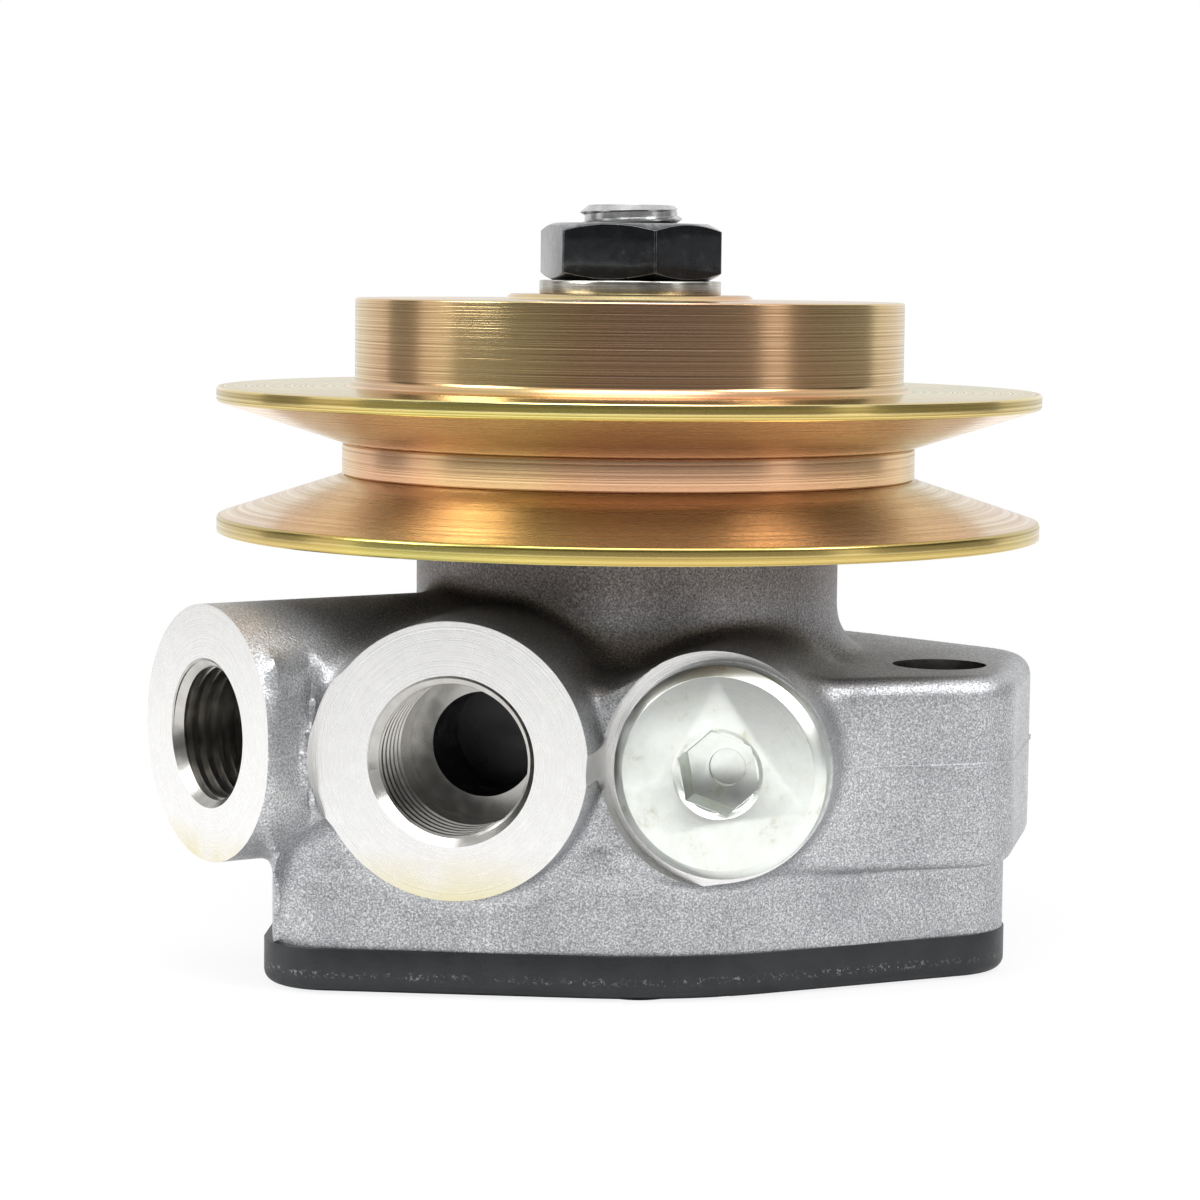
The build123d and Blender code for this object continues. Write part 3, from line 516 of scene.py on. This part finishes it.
def moulded_rubber():
    """Moulded nitrile rubber: black, matt, with a faint bloom."""
    material, tree, shader, place = metal("moulded_nitrile_rubber", "17181A", 0.6, metallic=0.0)
    bloom = noise(tree, place, 1.5, 4.0)
    tree.links.new(ramp(tree, bloom, [(0.3, "131415"), (0.7, "232427")]), shader.inputs["Base Color"])
    tree.links.new(span(tree, bloom, 0.3, 0.7, 0.66, 0.52), shader.inputs["Roughness"])
    bump(tree, shader, noise(tree, place, 0.3, 2.0), 0.02)
    return material


cast = cast_aluminium()
inlet_milled = milled_aluminium("face_milled_aluminium_inlet", inlet_face, inlet_out, (9.5, 15.5))
outlet_milled = milled_aluminium("face_milled_aluminium_outlet", outlet_face, outlet_out, (10.0, 14.5))
relief_milled = milled_aluminium("face_milled_aluminium_relief", relief_face, inlet_out, (30.0, 40.0))
bored = bored_aluminium()
passage_painted_shade = passage_painted_shade_material()
hub_gold = chromate("yellow_chromate_turned_hub", "A89272", "CDB993", "E8DABA", 0.2, 0.2, 0.016, 0.5)
root_gold = chromate("yellow_chromate_turned_root_band", "C4A784", "DCC29C", "EBDAB8", 0.24, 0.3, 0.02, 0.5)
# Painted shade: a darker copy of the chromate for the pulley's underside and cup, which lie in shade; its
# higher roughness is their duller finish.
underside_gold_painted_shade = chromate("yellow_chromate_underside_painted_shade", "55503F", "6E6858", "8A8270", 0.42, 0.5, 0.01, 0.3)
rim_gold = chromate("yellow_chromate_polished_rim", "9C9050", "C2B56E", "E2D99C", 0.2, 0.3, 0.01, 0.3)
flank_gold = chromate("yellow_chromate_satin_flank", "CFBFA0", "DBCCB0", "E6DAC2", 0.24, 0.7, 0.002, 0.25)
plug_zinc = zinc("bright_zinc_turned_plug", relief_face)
nut_black = black_oxide("black_oxide_nut", "16191D", "2A2D32", 0.22)
nut_worn = black_oxide("black_oxide_nut_rubbed_edge", "44484D", "8A8E93", 0.3)
cover_black = black_paint()
washer_steel = turned_steel("bright_zinc_washer", "D8D4CB", 0.24)
stud_steel = turned_steel("turned_steel_stud", "CFCFD0", 0.22)
ground_steel = plain_metal("ground_bearing_steel", "BDBEC0", "DADBDC", 0.2)
sintered_steel = plain_metal("sintered_rotor_steel", "77787A", "95969A", 0.42, 0.35)
bronze = plain_metal("bored_bearing_bronze", "9C7444", "BD9560", 0.34)
cage_brass = plain_metal("machined_cage_brass", "B5974F", "D3B970", 0.3)
spring_steel = plain_metal("phosphated_spring_steel", "4A4B4D", "66686A", 0.4)
rubber = moulded_rubber()
soft_aluminium = plain_metal("soft_aluminium_sealing_ring", "BBBCBD", "D6D7D8", 0.34)


# Casting skin, worked out as a distance from its surface so that every joint of its forms blends softly

def hull_distance(x, y, circles, step_deg=3):
    """Distance in the plane to a wall drawn tight round circles, below zero inside it."""
    best = np.full(np.broadcast(x, y).shape, -np.inf)
    for angle in np.radians(np.arange(0, 360, step_deg)):
        nx, ny = math.cos(angle), math.sin(angle)
        reach = max(nx * cx + ny * cy + r for cx, cy, r in circles)
        np.maximum(best, nx * x + ny * y - reach, out=best)
    return best


def slab(flat, z, low, high, low_r, high_r):
    """Distance to a flat shape raised from low to high, with its two rims rounded."""
    middle = (low + high) / 2
    r = np.where(z > middle, high_r, low_r)
    side = flat + r
    up = np.abs(z - middle) - (high - low) / 2 + r
    return np.minimum(np.maximum(side, up), 0) + np.hypot(np.maximum(side, 0), np.maximum(up, 0)) - r


def rod(x, y, z, face, out, radius, length, end_r=0.0):
    """Distance to a round boss that runs back from its face, with a ball at the back when end_r is set."""
    dx, dy, dz = x - face.x, y - face.y, z - face.z
    along = dx * out.x + dy * out.y + dz * out.z
    across = np.sqrt(np.maximum(dx * dx + dy * dy + dz * dz - along * along, 0))
    if end_r:
        back = np.minimum(along + length, 0)
        return np.maximum(np.hypot(across, back) - radius, along - stock)
    return np.maximum(across - radius, np.maximum(along - stock, -length - along))


def blend(first, second, radius):
    """Union of two distances with a soft fillet of about the given radius."""
    h = np.maximum(radius - np.abs(first - second), 0) / radius
    return np.minimum(first, second) - h * h * radius / 4


def wall_ahead(x, y):
    """Distance in front of the flat wall that stands between the two ports."""
    along = (wall_front - wall_back).normalized()
    return -(x - wall_back.x) * along.y + (y - wall_back.y) * along.x


def port_wall(x, y, z):
    """Distance to the block behind that wall: flat to the front, with a soft top edge and a sloping foot."""
    flat = wall_ahead(x, y)
    foot = flat * math.cos(wall_slope) - (z - wall_foot_z) * math.sin(wall_slope)
    top = -blend(-flat, wall_top_z - z, wall_top_r)
    outer = x * outlet_out.x + y * outlet_out.y - outlet_reach + wall_behind_outlet
    side = x * wall_side[0] + y * wall_side[1] - wall_side_reach
    ends = np.maximum(outer, y - wall_end_y)
    left = np.maximum(side, wall_bottom_z - z)
    return np.maximum(np.maximum(top, foot), np.maximum(ends, left))


def casting_distance(x, y, z):
    """Distance from the casting's skin, below zero inside it, in millimetres."""
    base_circles = [body_circle, corner_circle] + [(mx, my, flange_r) for mx, my in mount_places]
    base = slab(hull_distance(x, y, base_circles), z, cover_top - 3, lug_low + 3, sharp_rim_r, sharp_rim_r)
    front_outline = hull_distance(x, y, [body_circle] + front_lug_circles)
    front = slab(front_outline, z, lug_low, lug_high, lug_under_r, lug_edge_r)
    corner_outline = hull_distance(x, y, [body_circle, corner_circle])
    corner = slab(corner_outline, z, lug_low, lug_high, sharp_rim_r, lug_edge_r)
    body = np.minimum(front, corner)
    for mx, my in mount_places[1:]:
        lug = hull_distance(x, y, [(0, 0, body_circle[2] - round_lug_r), (mx, my, round_lug_r)])
        body = blend(body, slab(lug, z, lug_low, lug_high, lug_under_r, lug_edge_r), lug_fillet)
    body = blend(body, base, base_fillet)
    neck = slab(np.hypot(x, y) - neck_r, z, lug_low, neck_top + stock, sharp_rim_r, sharp_rim_r)
    inlet = rod(x, y, z, inlet_face, inlet_out, inlet_boss_r, inlet_boss_l)
    outlet = rod(x, y, z, outlet_face, outlet_out, outlet_boss_r, outlet_boss_l)
    relief_start = Vector((relief_boss_x, relief_face.y, relief_face.z))
    relief_length = relief_boss_end - relief_face.y
    relief = rod(x, y, z, relief_start, inlet_out, relief_boss_r, relief_length, relief_boss_r)
    outlet = blend(outlet, port_wall(x, y, z), wall_fillet)
    room = np.maximum(-wall_ahead(x, y), y - inlet_face.y - room_shoulder)
    outlet = -blend(-outlet, room, wall_fillet)
    bosses = blend(blend(inlet, outlet, boss_fillet), relief, relief_fillet)
    return blend(blend(body, neck, neck_fillet), bosses, boss_fillet)


def surface_net(distance, low, high, step):
    """Quad mesh of a distance's zero level: one point in each grid cell that it crosses."""
    axes = [np.arange(a, b + step, step) for a, b in zip(low, high)]
    x, y, z = np.meshgrid(*axes, indexing="ij", sparse=True)
    inside = distance(x, y, z) < 0
    count = sum(
        inside[i:inside.shape[0] - 1 + i, j:inside.shape[1] - 1 + j, k:inside.shape[2] - 1 + k].astype(int)
        for i in (0, 1) for j in (0, 1) for k in (0, 1)
    )
    active = (count > 0) & (count < 8)
    index = np.full(active.shape, -1)
    index[active] = np.arange(active.sum())
    points = np.array(low) + (np.argwhere(active) + 0.5) * step
    quads = []
    for axis in range(3):
        start = [slice(1, -1)] * 3
        end = [slice(1, -1)] * 3
        start[axis] = slice(0, -1)
        end[axis] = slice(1, None)
        leaving = inside[tuple(start)] & ~inside[tuple(end)]
        entering = ~inside[tuple(start)] & inside[tuple(end)]
        one, two = [a for a in range(3) if a != axis]
        for crossing, flip in ((leaving, axis == 1), (entering, axis != 1)):
            cells = np.argwhere(crossing)
            base = cells + 1
            base[:, axis] = cells[:, axis]
            corners = []
            for da, db in ((1, 1), (0, 1), (0, 0), (1, 0)):
                cell = base.copy()
                cell[:, one] -= da
                cell[:, two] -= db
                corners.append(index[cell[:, 0], cell[:, 1], cell[:, 2]])
            quad = np.stack(corners, 1)
            quads.append(quad[:, ::-1] if flip else quad)
    return points, np.concatenate(quads)


def settle(points, quads, distance, rounds=4):
    """Evens out the net and brings its points back to the surface."""
    ends = np.concatenate([quads[:, [i, (i + 1) % 4]] for i in range(4)])
    for turn in range(rounds):
        total = np.zeros_like(points)
        np.add.at(total, ends[:, 0], points[ends[:, 1]])
        np.add.at(total, ends[:, 1], points[ends[:, 0]])
        number = np.bincount(ends.ravel(), minlength=len(points))[:, None]
        if turn < rounds - 1:
            points = points * 0.4 + total / number * 0.6
        here = distance(*points.T)
        reach = 0.05
        slope = np.stack([
            (distance(*(points + reach * axis).T) - distance(*(points - reach * axis).T)) / (2 * reach)
            for axis in np.eye(3)
        ], 1)
        size = np.maximum((slope ** 2).sum(1, keepdims=True), 0.2)
        points = points - slope / size * here[:, None]
    return points


def raise_parting_line(bm, height, wanted):
    """Cuts the skin at the die's parting line and lifts a small ridge there, on the wanted faces."""
    for level in (height - flash_half, height, height + flash_half):
        faces = [f for f in bm.faces if abs(f.calc_center_median().z / MM - level) < 3 and wanted(f)]
        edges = {e for f in faces for e in f.edges}
        verts = {v for f in faces for v in f.verts}
        around = faces + list(edges) + list(verts)
        bmesh.ops.bisect_plane(bm, geom=around, plane_co=(0, 0, level * MM), plane_no=(0, 0, 1), dist=1e-7)
    bm.normal_update()
    for v in bm.verts:
        if abs(v.co.z - height * MM) < 1e-6 and all(wanted(f) for f in v.link_faces):
            side = Vector((v.normal.x, v.normal.y, 0))
            if side.length > 0.7:
                ripple = 0.75 + 0.25 * math.sin(v.co.x / MM * 1.7) * math.sin(v.co.y / MM * 2.3)
                v.co += side.normalized() * flash_out * ripple * MM


def on_right_or_back(face):
    """Whether the parting line of the right and the back crosses this face of the skin."""
    middle = face.calc_center_median()
    return middle.x > 0.029 or middle.y > 0.0


def on_left_front(face):
    """Whether the parting line of the left crosses this face of the skin."""
    middle = face.calc_center_median()
    return middle.x < -0.02 and middle.y < -0.002


def casting():
    """The skin of the housing casting with its parting line, before anything is machined."""
    points, quads = surface_net(casting_distance, skin_low, skin_high, skin_step)
    points = settle(points, quads, casting_distance)
    mesh = bpy.data.meshes.new("housing_casting")
    mesh.from_pydata((points * MM).tolist(), [], quads.tolist())
    mesh.materials.append(cast)
    bm = bmesh.new()
    bm.from_mesh(mesh)
    raise_parting_line(bm, flash_right_z, on_right_or_back)
    raise_parting_line(bm, flash_left_z, on_left_front)
    low_end, high_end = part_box("housing")
    for v in bm.verts:
        v.co.x = min(max(v.co.x, low_end.x), high_end.x)
        v.co.y = min(max(v.co.y, low_end.y), high_end.y)
    bmesh.ops.recalc_face_normals(bm, faces=bm.faces)
    bm.to_mesh(mesh)
    bm.free()
    return new_object("housing_casting", mesh)


# Threads: one tree winds a grid round an axis, with the thread's flats and flanks as it goes along

def thread_tree():
    """Node tree that winds a closed threaded rod, along +Z from 0."""
    tree = bpy.data.node_groups.new("screw_thread", "GeometryNodeTree")
    names = (("Crest Radius", 0.009), ("Root Radius", 0.008), ("Pitch", 0.0015), ("Length", 0.012))
    tree.interface.new_socket("Geometry", in_out="INPUT", socket_type="NodeSocketGeometry")
    for name, value in names:
        socket = tree.interface.new_socket(name, in_out="INPUT", socket_type="NodeSocketFloat")
        socket.default_value = value
    around = tree.interface.new_socket("Segments", in_out="INPUT", socket_type="NodeSocketInt")
    around.default_value = 96
    tree.interface.new_socket("Material", in_out="INPUT", socket_type="NodeSocketMaterial")
    tree.interface.new_socket("Geometry", in_out="OUTPUT", socket_type="NodeSocketGeometry")
    given = add(tree, "NodeGroupInput").outputs
    turns = maths(tree, "DIVIDE", given["Length"], given["Pitch"])
    rows = maths(tree, "ADD", maths(tree, "MULTIPLY", maths(tree, "CEIL", turns), 8.0), 3.0)
    columns = maths(tree, "ADD", given["Segments"], 1.0)
    grid = add(
        tree, "GeometryNodeMeshGrid",
        {"Size X": 1.0, "Size Y": 1.0, "Vertices X": columns, "Vertices Y": rows},
    )
    where = add(tree, "ShaderNodeSeparateXYZ", {0: add(tree, "GeometryNodeInputPosition").outputs[0]})
    turn = maths(tree, "ADD", where.outputs[0], 0.5)
    row = maths(tree, "ROUND", maths(tree, "MULTIPLY", maths(tree, "ADD", where.outputs[1], 0.5),
                                     maths(tree, "SUBTRACT", rows, 1.0)))
    step = maths(tree, "SUBTRACT", row, 1.0)
    phase = maths(tree, "FRACT", maths(tree, "DIVIDE", maths(tree, "ADD", step, 0.5), 8.0))
    crest = maths(tree, "LESS_THAN", maths(tree, "ABSOLUTE", maths(tree, "SUBTRACT", phase, 0.5)), 0.14)
    half = maths(tree, "LESS_THAN", maths(tree, "ABSOLUTE", maths(tree, "SUBTRACT", phase, 0.5)), 0.26)
    share = maths(tree, "MULTIPLY", maths(tree, "ADD", crest, half), 0.5)
    gap = maths(tree, "SUBTRACT", given["Crest Radius"], given["Root Radius"])
    radius = maths(tree, "ADD", given["Root Radius"], maths(tree, "MULTIPLY", gap, share))
    first = maths(tree, "GREATER_THAN", row, 0.5)
    last = maths(tree, "LESS_THAN", row, maths(tree, "SUBTRACT", rows, 1.5))
    closed = maths(tree, "MULTIPLY", first, last)
    radius = maths(tree, "MULTIPLY", radius, closed)
    rise = maths(tree, "MULTIPLY", maths(tree, "DIVIDE", step, 8.0), given["Pitch"])
    lead = maths(tree, "MULTIPLY", maths(tree, "MULTIPLY", turn, given["Pitch"]), closed)
    height = maths(tree, "ADD", rise, lead)
    angle = maths(tree, "MULTIPLY", turn, 2 * math.pi)
    place = add(tree, "ShaderNodeCombineXYZ", {
        0: maths(tree, "MULTIPLY", radius, maths(tree, "COSINE", angle)),
        1: maths(tree, "MULTIPLY", radius, maths(tree, "SINE", angle)),
        2: height,
    })
    moved = add(
        tree, "GeometryNodeSetPosition", {"Geometry": grid.outputs["Mesh"], "Position": place.outputs[0]}
    )
    joined = add(tree, "GeometryNodeMergeByDistance", {"Geometry": moved.outputs[0], "Distance": 1e-6})
    real = add(tree, "GeometryNodeRealizeInstances", {"Geometry": joined.outputs[0]})
    painted = add(
        tree, "GeometryNodeSetMaterial", {"Geometry": real.outputs[0], "Material": given["Material"]}
    )
    add(tree, "NodeGroupOutput", {0: painted.outputs[0]})
    return tree


def threaded_rod(name, tree, root_r, crest_r, length, material, origin, out, turn_on=0.0):
    """A threaded rod from the tree, as a closed solid placed at an origin and pointing out."""
    made = new_object(name, bpy.data.meshes.new(name))
    modifier = made.modifiers.new("thread", "NODES")
    modifier.node_group = tree
    values = {
        "Crest Radius": crest_r * MM, "Root Radius": root_r * MM, "Pitch": pitch * MM, "Length": length * MM,
        "Material": material,
    }
    for item in tree.interface.items_tree:
        if item.in_out == "INPUT" and item.name in values:
            modifier[item.identifier] = values[item.name]
    applied(made)
    spin = out.to_track_quat("Z", "Y") @ Quaternion((0, 0, 1), turn_on)
    made.data.transform(Matrix.Translation(origin * MM) @ spin.to_matrix().to_4x4())
    bm = bmesh.new()
    bm.from_mesh(made.data)
    bmesh.ops.remove_doubles(bm, verts=bm.verts, dist=1e-7)
    bmesh.ops.holes_fill(bm, edges=[e for e in bm.edges if e.is_boundary], sides=0)
    bmesh.ops.recalc_face_normals(bm, faces=bm.faces)
    bm.to_mesh(made.data)
    bm.free()
    return made


def boss_facing(radius):
    """Profile of a cutter that takes all metal off in front of a face."""
    far = 20.0
    return [(0, 0), (radius, 0), (radius, far), (0, far)]


def port_bore(minor_r, mouth_r, depth):
    """Profile of a port's bore up to its thread's crests, with a chamfered mouth."""
    return [(0, -depth), (minor_r, -depth), (minor_r, -1.0), (mouth_r, 0.2), (mouth_r, 2), (0, 2)]


def machine(housing, tree):
    """All the cuts that the machine shop makes in the casting."""
    beyond = 80
    chamber_r, chamber_top = 23.1, 10.3
    bush_bore_r, bush_bore_top = 10, 32.2
    seal_bore_r, seal_bore_top = 15, 42.2
    bearing_bore_r, bearing_bore_top = 20, 70
    main_bore = [
        (0, -2), (chamber_r, -2), (chamber_r, chamber_top), (bush_bore_r, chamber_top),
        (bush_bore_r, bush_bore_top), (seal_bore_r, bush_bore_top), (seal_bore_r, seal_bore_top),
        (bearing_bore_r, seal_bore_top), (bearing_bore_r, bearing_bore_top), (0, bearing_bore_top),
    ]
    base = [(0, -20), (beyond, -20), (beyond, 0), (0, 0)]
    relief_bore = [(0, -29), (6, -29), (6, -11), (8, -11), (8, 2), (0, 2)]
    inlet_passage = [(0, -25), (5.85, -25), (5.85, -14), (0, -14)]
    outlet_passage = [(0, -25), (5, -25), (5, -12), (0, -12)]
    mounting_bore = [(0, -5), (mount_hole_r, -5), (mount_hole_r, 60), (0, 60)]
    inlet_bore = port_bore(inlet_minor_r, inlet_mouth_r, 14.4)
    outlet_bore = port_bore(outlet_minor_r, outlet_mouth_r, 13)
    inlet = (inlet_face, inlet_out)
    outlet = (outlet_face, outlet_out)
    relief = (relief_face, inlet_out)
    cutters = [
        turned("cut_base", base, [bored], 64, Vector((0, 0, cover_top))),
        turned("cut_neck", boss_facing(beyond), [bored], 64, Vector((0, 0, neck_top))),
        turned("cut_bore", main_bore, [bored], 96, Vector((0, 0, cover_top))),
        turned("cut_inlet_face", boss_facing(inlet_cutter_r), [inlet_milled], 128, *inlet),
        turned("cut_outlet_face", boss_facing(outlet_cutter_r), [outlet_milled], 128, *outlet),
        turned("cut_relief_face", boss_facing(relief_cutter_r), [relief_milled], 128, *relief),
        turned("cut_relief_bore", relief_bore, [bored], 96, *relief),
        turned("cut_inlet_passage", inlet_passage, [passage_painted_shade], 96, *inlet),
        turned("cut_inlet_bore", inlet_bore, [bored], 128, *inlet),
        turned("cut_outlet_passage", outlet_passage, [passage_painted_shade], 96, *outlet),
        turned("cut_outlet_bore", outlet_bore, [bored], 128, *outlet),
    ]
    for x, y in mount_places:
        cutters.append(turned("cut_mount", mounting_bore, [bored], 64, Vector((x, y, 0))))
    tap_past, tap_inside = 1.5, 0.05
    for name, minor_r, major_r, depth, (face, out) in (
        ("tap_inlet", inlet_minor_r, inlet_major_r, inlet_tap_depth, inlet),
        ("tap_outlet", outlet_minor_r, outlet_major_r, outlet_tap_depth, outlet),
    ):
        cutters.append(threaded_rod(name, tree, minor_r - tap_inside, major_r, depth + tap_past, bored,
                                    face - out * depth, out))
    for cutter in cutters:
        cut(housing, cutter)
    return housing


thread = thread_tree()
housing = machine(casting(), thread)
shade(housing, 35)
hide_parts("housing")
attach(housing, CAST_BODY)


# Pulley, turned: rims, groove flanks, root band and hub, each with its own finish, and an underside and cup
# in a darker chromate that is painted shade

def pulley():
    """The belt pulley with every turned corner slightly broken."""
    hub_r, boss_r, bore_r, cup_r = 32.0, 14.0, 7.52, 26.7
    hub_top, cup_floor = 75.2, 68.0
    groove_low, groove_high, rim_top = 49.95, 63.2, 64.9
    root_r, root_half, band_half, band_out = 33.1, 1.784, 1.7, 0.35
    middle = (groove_low + groove_high) / 2
    profile = [
        (bore_r, cup_floor), (cup_r, cup_floor), (cup_r, pulley_low), (pulley_r, pulley_low),
        (pulley_r, groove_low), (root_r, middle - root_half), (root_r, middle - band_half),
        (root_r + band_out, middle - band_half), (root_r + band_out, middle + band_half),
        (root_r, middle + band_half), (root_r, middle + root_half), (pulley_r, groove_high),
        (pulley_r, rim_top), (hub_r + 0.9, rim_top), (hub_r, rim_top + 0.9), (hub_r, hub_top),
        (boss_r + 0.6, hub_top), (boss_r, pulley_high), (bore_r, pulley_high),
    ]
    profile = rounded(profile + [profile[0]], 0.35)[:-1]

    def band(r, h):
        if r > pulley_r - 0.5 or (r > hub_r + 1 and h > groove_high):
            return 1
        # Underside and cup take the darker chromate, which is painted shade.
        if h < groove_low:
            return 4
        if r > hub_r + 0.5:
            return 2 if r > root_r + band_out + 0.2 else 3
        return 0

    made = turned("v_belt_pulley", profile, [hub_gold, rim_gold, flank_gold, root_gold, underside_gold_painted_shade],
                  256, bands=band)
    shade(made, 30)
    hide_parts("drive_pulley")
    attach(made, TURNING_BODY)


pulley()


def eased(name, node, width, materials, body, edge_slot=0, angle=28):
    """A copy of a solid with its sharp edges eased, shown in its place."""
    mesh = nodes[node].data.copy()
    mesh.materials.clear()
    made = new_object(name, mesh)
    bm = bmesh.new()
    bm.from_mesh(mesh)
    bmesh.ops.remove_doubles(bm, verts=bm.verts, dist=1e-6)
    bmesh.ops.dissolve_limit(bm, angle_limit=math.radians(0.5), verts=bm.verts, edges=bm.edges)
    bm.to_mesh(mesh)
    bm.free()
    for material in materials:
        mesh.materials.append(material)
    mesh.polygons.foreach_set("material_index", [0] * len(mesh.polygons))
    bevel = made.modifiers.new("eased", "BEVEL")
    bevel.width = width * MM
    bevel.segments = 2
    bevel.limit_method = "ANGLE"
    bevel.angle_limit = math.radians(angle)
    bevel.material = edge_slot
    applied(made)
    shade(made, 40)
    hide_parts(node)
    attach(made, body)
    return made


eased("thin_nut", "pulley_nut", 0.28, [nut_black, nut_worn], TURNING_BODY, edge_slot=1)
eased("flat_washer", "pulley_washer", 0.15, [washer_steel], TURNING_BODY)
eased("relief_valve_plug", "relief_plug", 0.16, [plug_zinc], CAST_BODY)
eased("bottom_cover", "cover_plate", 0.2, [cover_black], CAST_BODY)

# Thread of the stud above the nut, with its end turned to a cone
stud_low = nut_high - 0.8
stud_high = shaft_top - 0.03
stud_envelope = [(0, stud_low), (6.4, stud_low), (6.4, shaft_top - 1.3), (5.0, stud_high), (0, stud_high)]
stud = threaded_rod("stud_thread", thread, stud_core_r, stud_crest_r, 4 * pitch, stud_steel,
                    Vector((0, 0, shaft_top - 4 * pitch)), Vector((0, 0, 1)))
cut(stud, turned("stud_end", stud_envelope, [stud_steel], 96), "INTERSECT")
shade(stud, 30)
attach(stud, TURNING_BODY)

# Solids that are shown as they are, with their own finish
finishes = {
    "cover_screws": nut_black, "cover_dowels": ground_steel, "cover_seal": rubber, "shaft_bush": bronze,
    "shaft_seal": rubber, "seal_garter_spring": ground_steel, "bearing_outer_ring": ground_steel,
    "bearing_inner_ring": ground_steel, "bearing_balls": ground_steel, "bearing_cage": cage_brass,
    "bearing_circlip": spring_steel, "pump_shaft": stud_steel, "rotor_key": ground_steel,
    "pulley_key": ground_steel, "inner_rotor": sintered_steel, "outer_rotor": sintered_steel,
    "plug_sealing_ring": soft_aluminium, "relief_valve": ground_steel, "relief_spring": spring_steel,
    "pulley_spacer": stud_steel,
}
for name, material in finishes.items():
    for place in nodes[name].material_slots:
        place.material = material


# Floor, light and camera

def floor():
    """A pale floor disc that reads as white paper to the eye and keeps the pump's soft shadow near it."""
    bpy.ops.mesh.primitive_circle_add(vertices=96, radius=0.55, fill_type="NGON", location=(0, 0, -0.0002))
    made = bpy.context.object
    made.name = "floor"
    material = bpy.data.materials.new("pale_studio_floor")
    material.use_nodes = True
    tree = material.node_tree
    shader = tree.nodes["Principled BSDF"]
    shader.inputs["Base Color"].default_value = hex_colour("F4F4F4")
    shader.inputs["Roughness"].default_value = 0.9
    paths = add(tree, "ShaderNodeLightPath")
    glow = add(tree, "ShaderNodeEmission", {"Color": (1, 1, 1, 1), "Strength": 1.0})
    place = add(tree, "ShaderNodeTexCoord").outputs["Object"]
    reach = add(tree, "ShaderNodeVectorMath", {0: place}, operation="LENGTH").outputs["Value"]
    share = span(tree, reach, 0.08, 0.3, 0.85, 1.0)
    seen = maths(tree, "MAXIMUM", paths.outputs["Is Camera Ray"], paths.outputs["Is Transmission Ray"])
    factor = maths(tree, "MULTIPLY", seen, share)
    both = add(tree, "ShaderNodeMixShader", {0: factor, 1: shader.outputs[0], 2: glow.outputs[0]})
    tree.links.new(both.outputs[0], tree.nodes["Material Output"].inputs["Surface"])
    made.data.materials.append(material)


def world():
    """White to the camera, to gloss and to glass, and a plain even white light for the rest."""
    made = bpy.data.worlds.new("studio")
    bpy.context.scene.world = made
    made.use_nodes = True
    tree = made.node_tree
    paths = add(tree, "ShaderNodeLightPath")
    seen = maths(tree, "MAXIMUM", paths.outputs["Is Camera Ray"], paths.outputs["Is Transmission Ray"])
    seen = maths(tree, "MAXIMUM", seen, paths.outputs["Is Glossy Ray"])
    strength = span(tree, seen, 0.0, 1.0, 0.6, 1.0)
    background = tree.nodes["Background"]
    background.inputs["Color"].default_value = (1, 1, 1, 1)
    tree.links.new(strength, background.inputs["Strength"])


def board(name, start, end, low, high, reach, grey):
    """An upright board that bends round the set between two angles from -Y, with an even glow of its own.

    The widest stands for the dim room behind the camera, the others for the pale boards that metal mirrors.
    """
    count = 60
    steps = [math.radians(start + (end - start) * i / count) for i in range(count + 1)]
    points = []
    for height in (low, high):
        points += [(reach * math.sin(a), -reach * math.cos(a), height) for a in steps]
    mesh = bpy.data.meshes.new(name)
    mesh.from_pydata(points, [], [(i, i + 1, i + count + 2, i + count + 1) for i in range(count)])
    material = bpy.data.materials.new(name)
    material.use_nodes = True
    tree = material.node_tree
    glow = add(tree, "ShaderNodeEmission", {"Color": (grey, grey, grey, 1), "Strength": 1.0})
    tree.links.new(glow.outputs[0], tree.nodes["Material Output"].inputs["Surface"])
    mesh.materials.append(material)
    made = new_object(name, mesh)
    made.visible_camera = False


def softbox(name, at, size, power):
    """A soft light with a rectangular face that looks at the pump's middle."""
    pump_middle = Vector((0, 0, 0.045))
    light = bpy.data.lights.new(name, "AREA")
    light.shape = "RECTANGLE"
    light.size, light.size_y = size
    light.energy = power
    made = bpy.data.objects.new(name, light)
    bpy.context.scene.collection.objects.link(made)
    made.location = at
    made.rotation_euler = (pump_middle - Vector(at)).to_track_quat("-Z", "Y").to_euler()


def camera():
    """The photograph's view: a long lens, a little above the pump and turned slightly to its right."""
    data = bpy.data.cameras.new("camera")
    data.lens = 102.4
    data.sensor_width = 36.0
    made = bpy.data.objects.new("camera", data)
    bpy.context.scene.collection.objects.link(made)
    made.location = Vector((83.5, -391.2, 78.4)) * MM
    look = Vector((-0.2154, 0.9718, -0.0956))
    made.rotation_mode = "QUATERNION"
    made.rotation_quaternion = look.to_track_quat("-Z", "Y") @ Quaternion((0, 0, 1), math.radians(0.604))
    bpy.context.scene.camera = made


floor()
world()
board("dim_room", -106, 132, -0.75, 0.9, 1.5, 0.09)
board("room_middle", -106, 132, -0.1, 0.3, 1.48, 0.36)
board("board_left", -84, -65, -0.6, 0.8, 1.46, 1.0)
board("board_front", -42, -16, -0.32, -0.09, 1.44, 0.9)
board("board_right", 68, 80, -0.6, 0.8, 1.46, 1.1)
softbox("key_left", (-0.78, -0.5, 0.62), (0.5, 0.5), 7)
softbox("key_right", (0.76, -0.22, 0.76), (0.4, 0.45), 5.5)
softbox("overhead", (0.05, -0.3, 1.05), (0.8, 0.6), 7)
camera()
bpy.context.scene.view_settings.view_transform = "Standard"
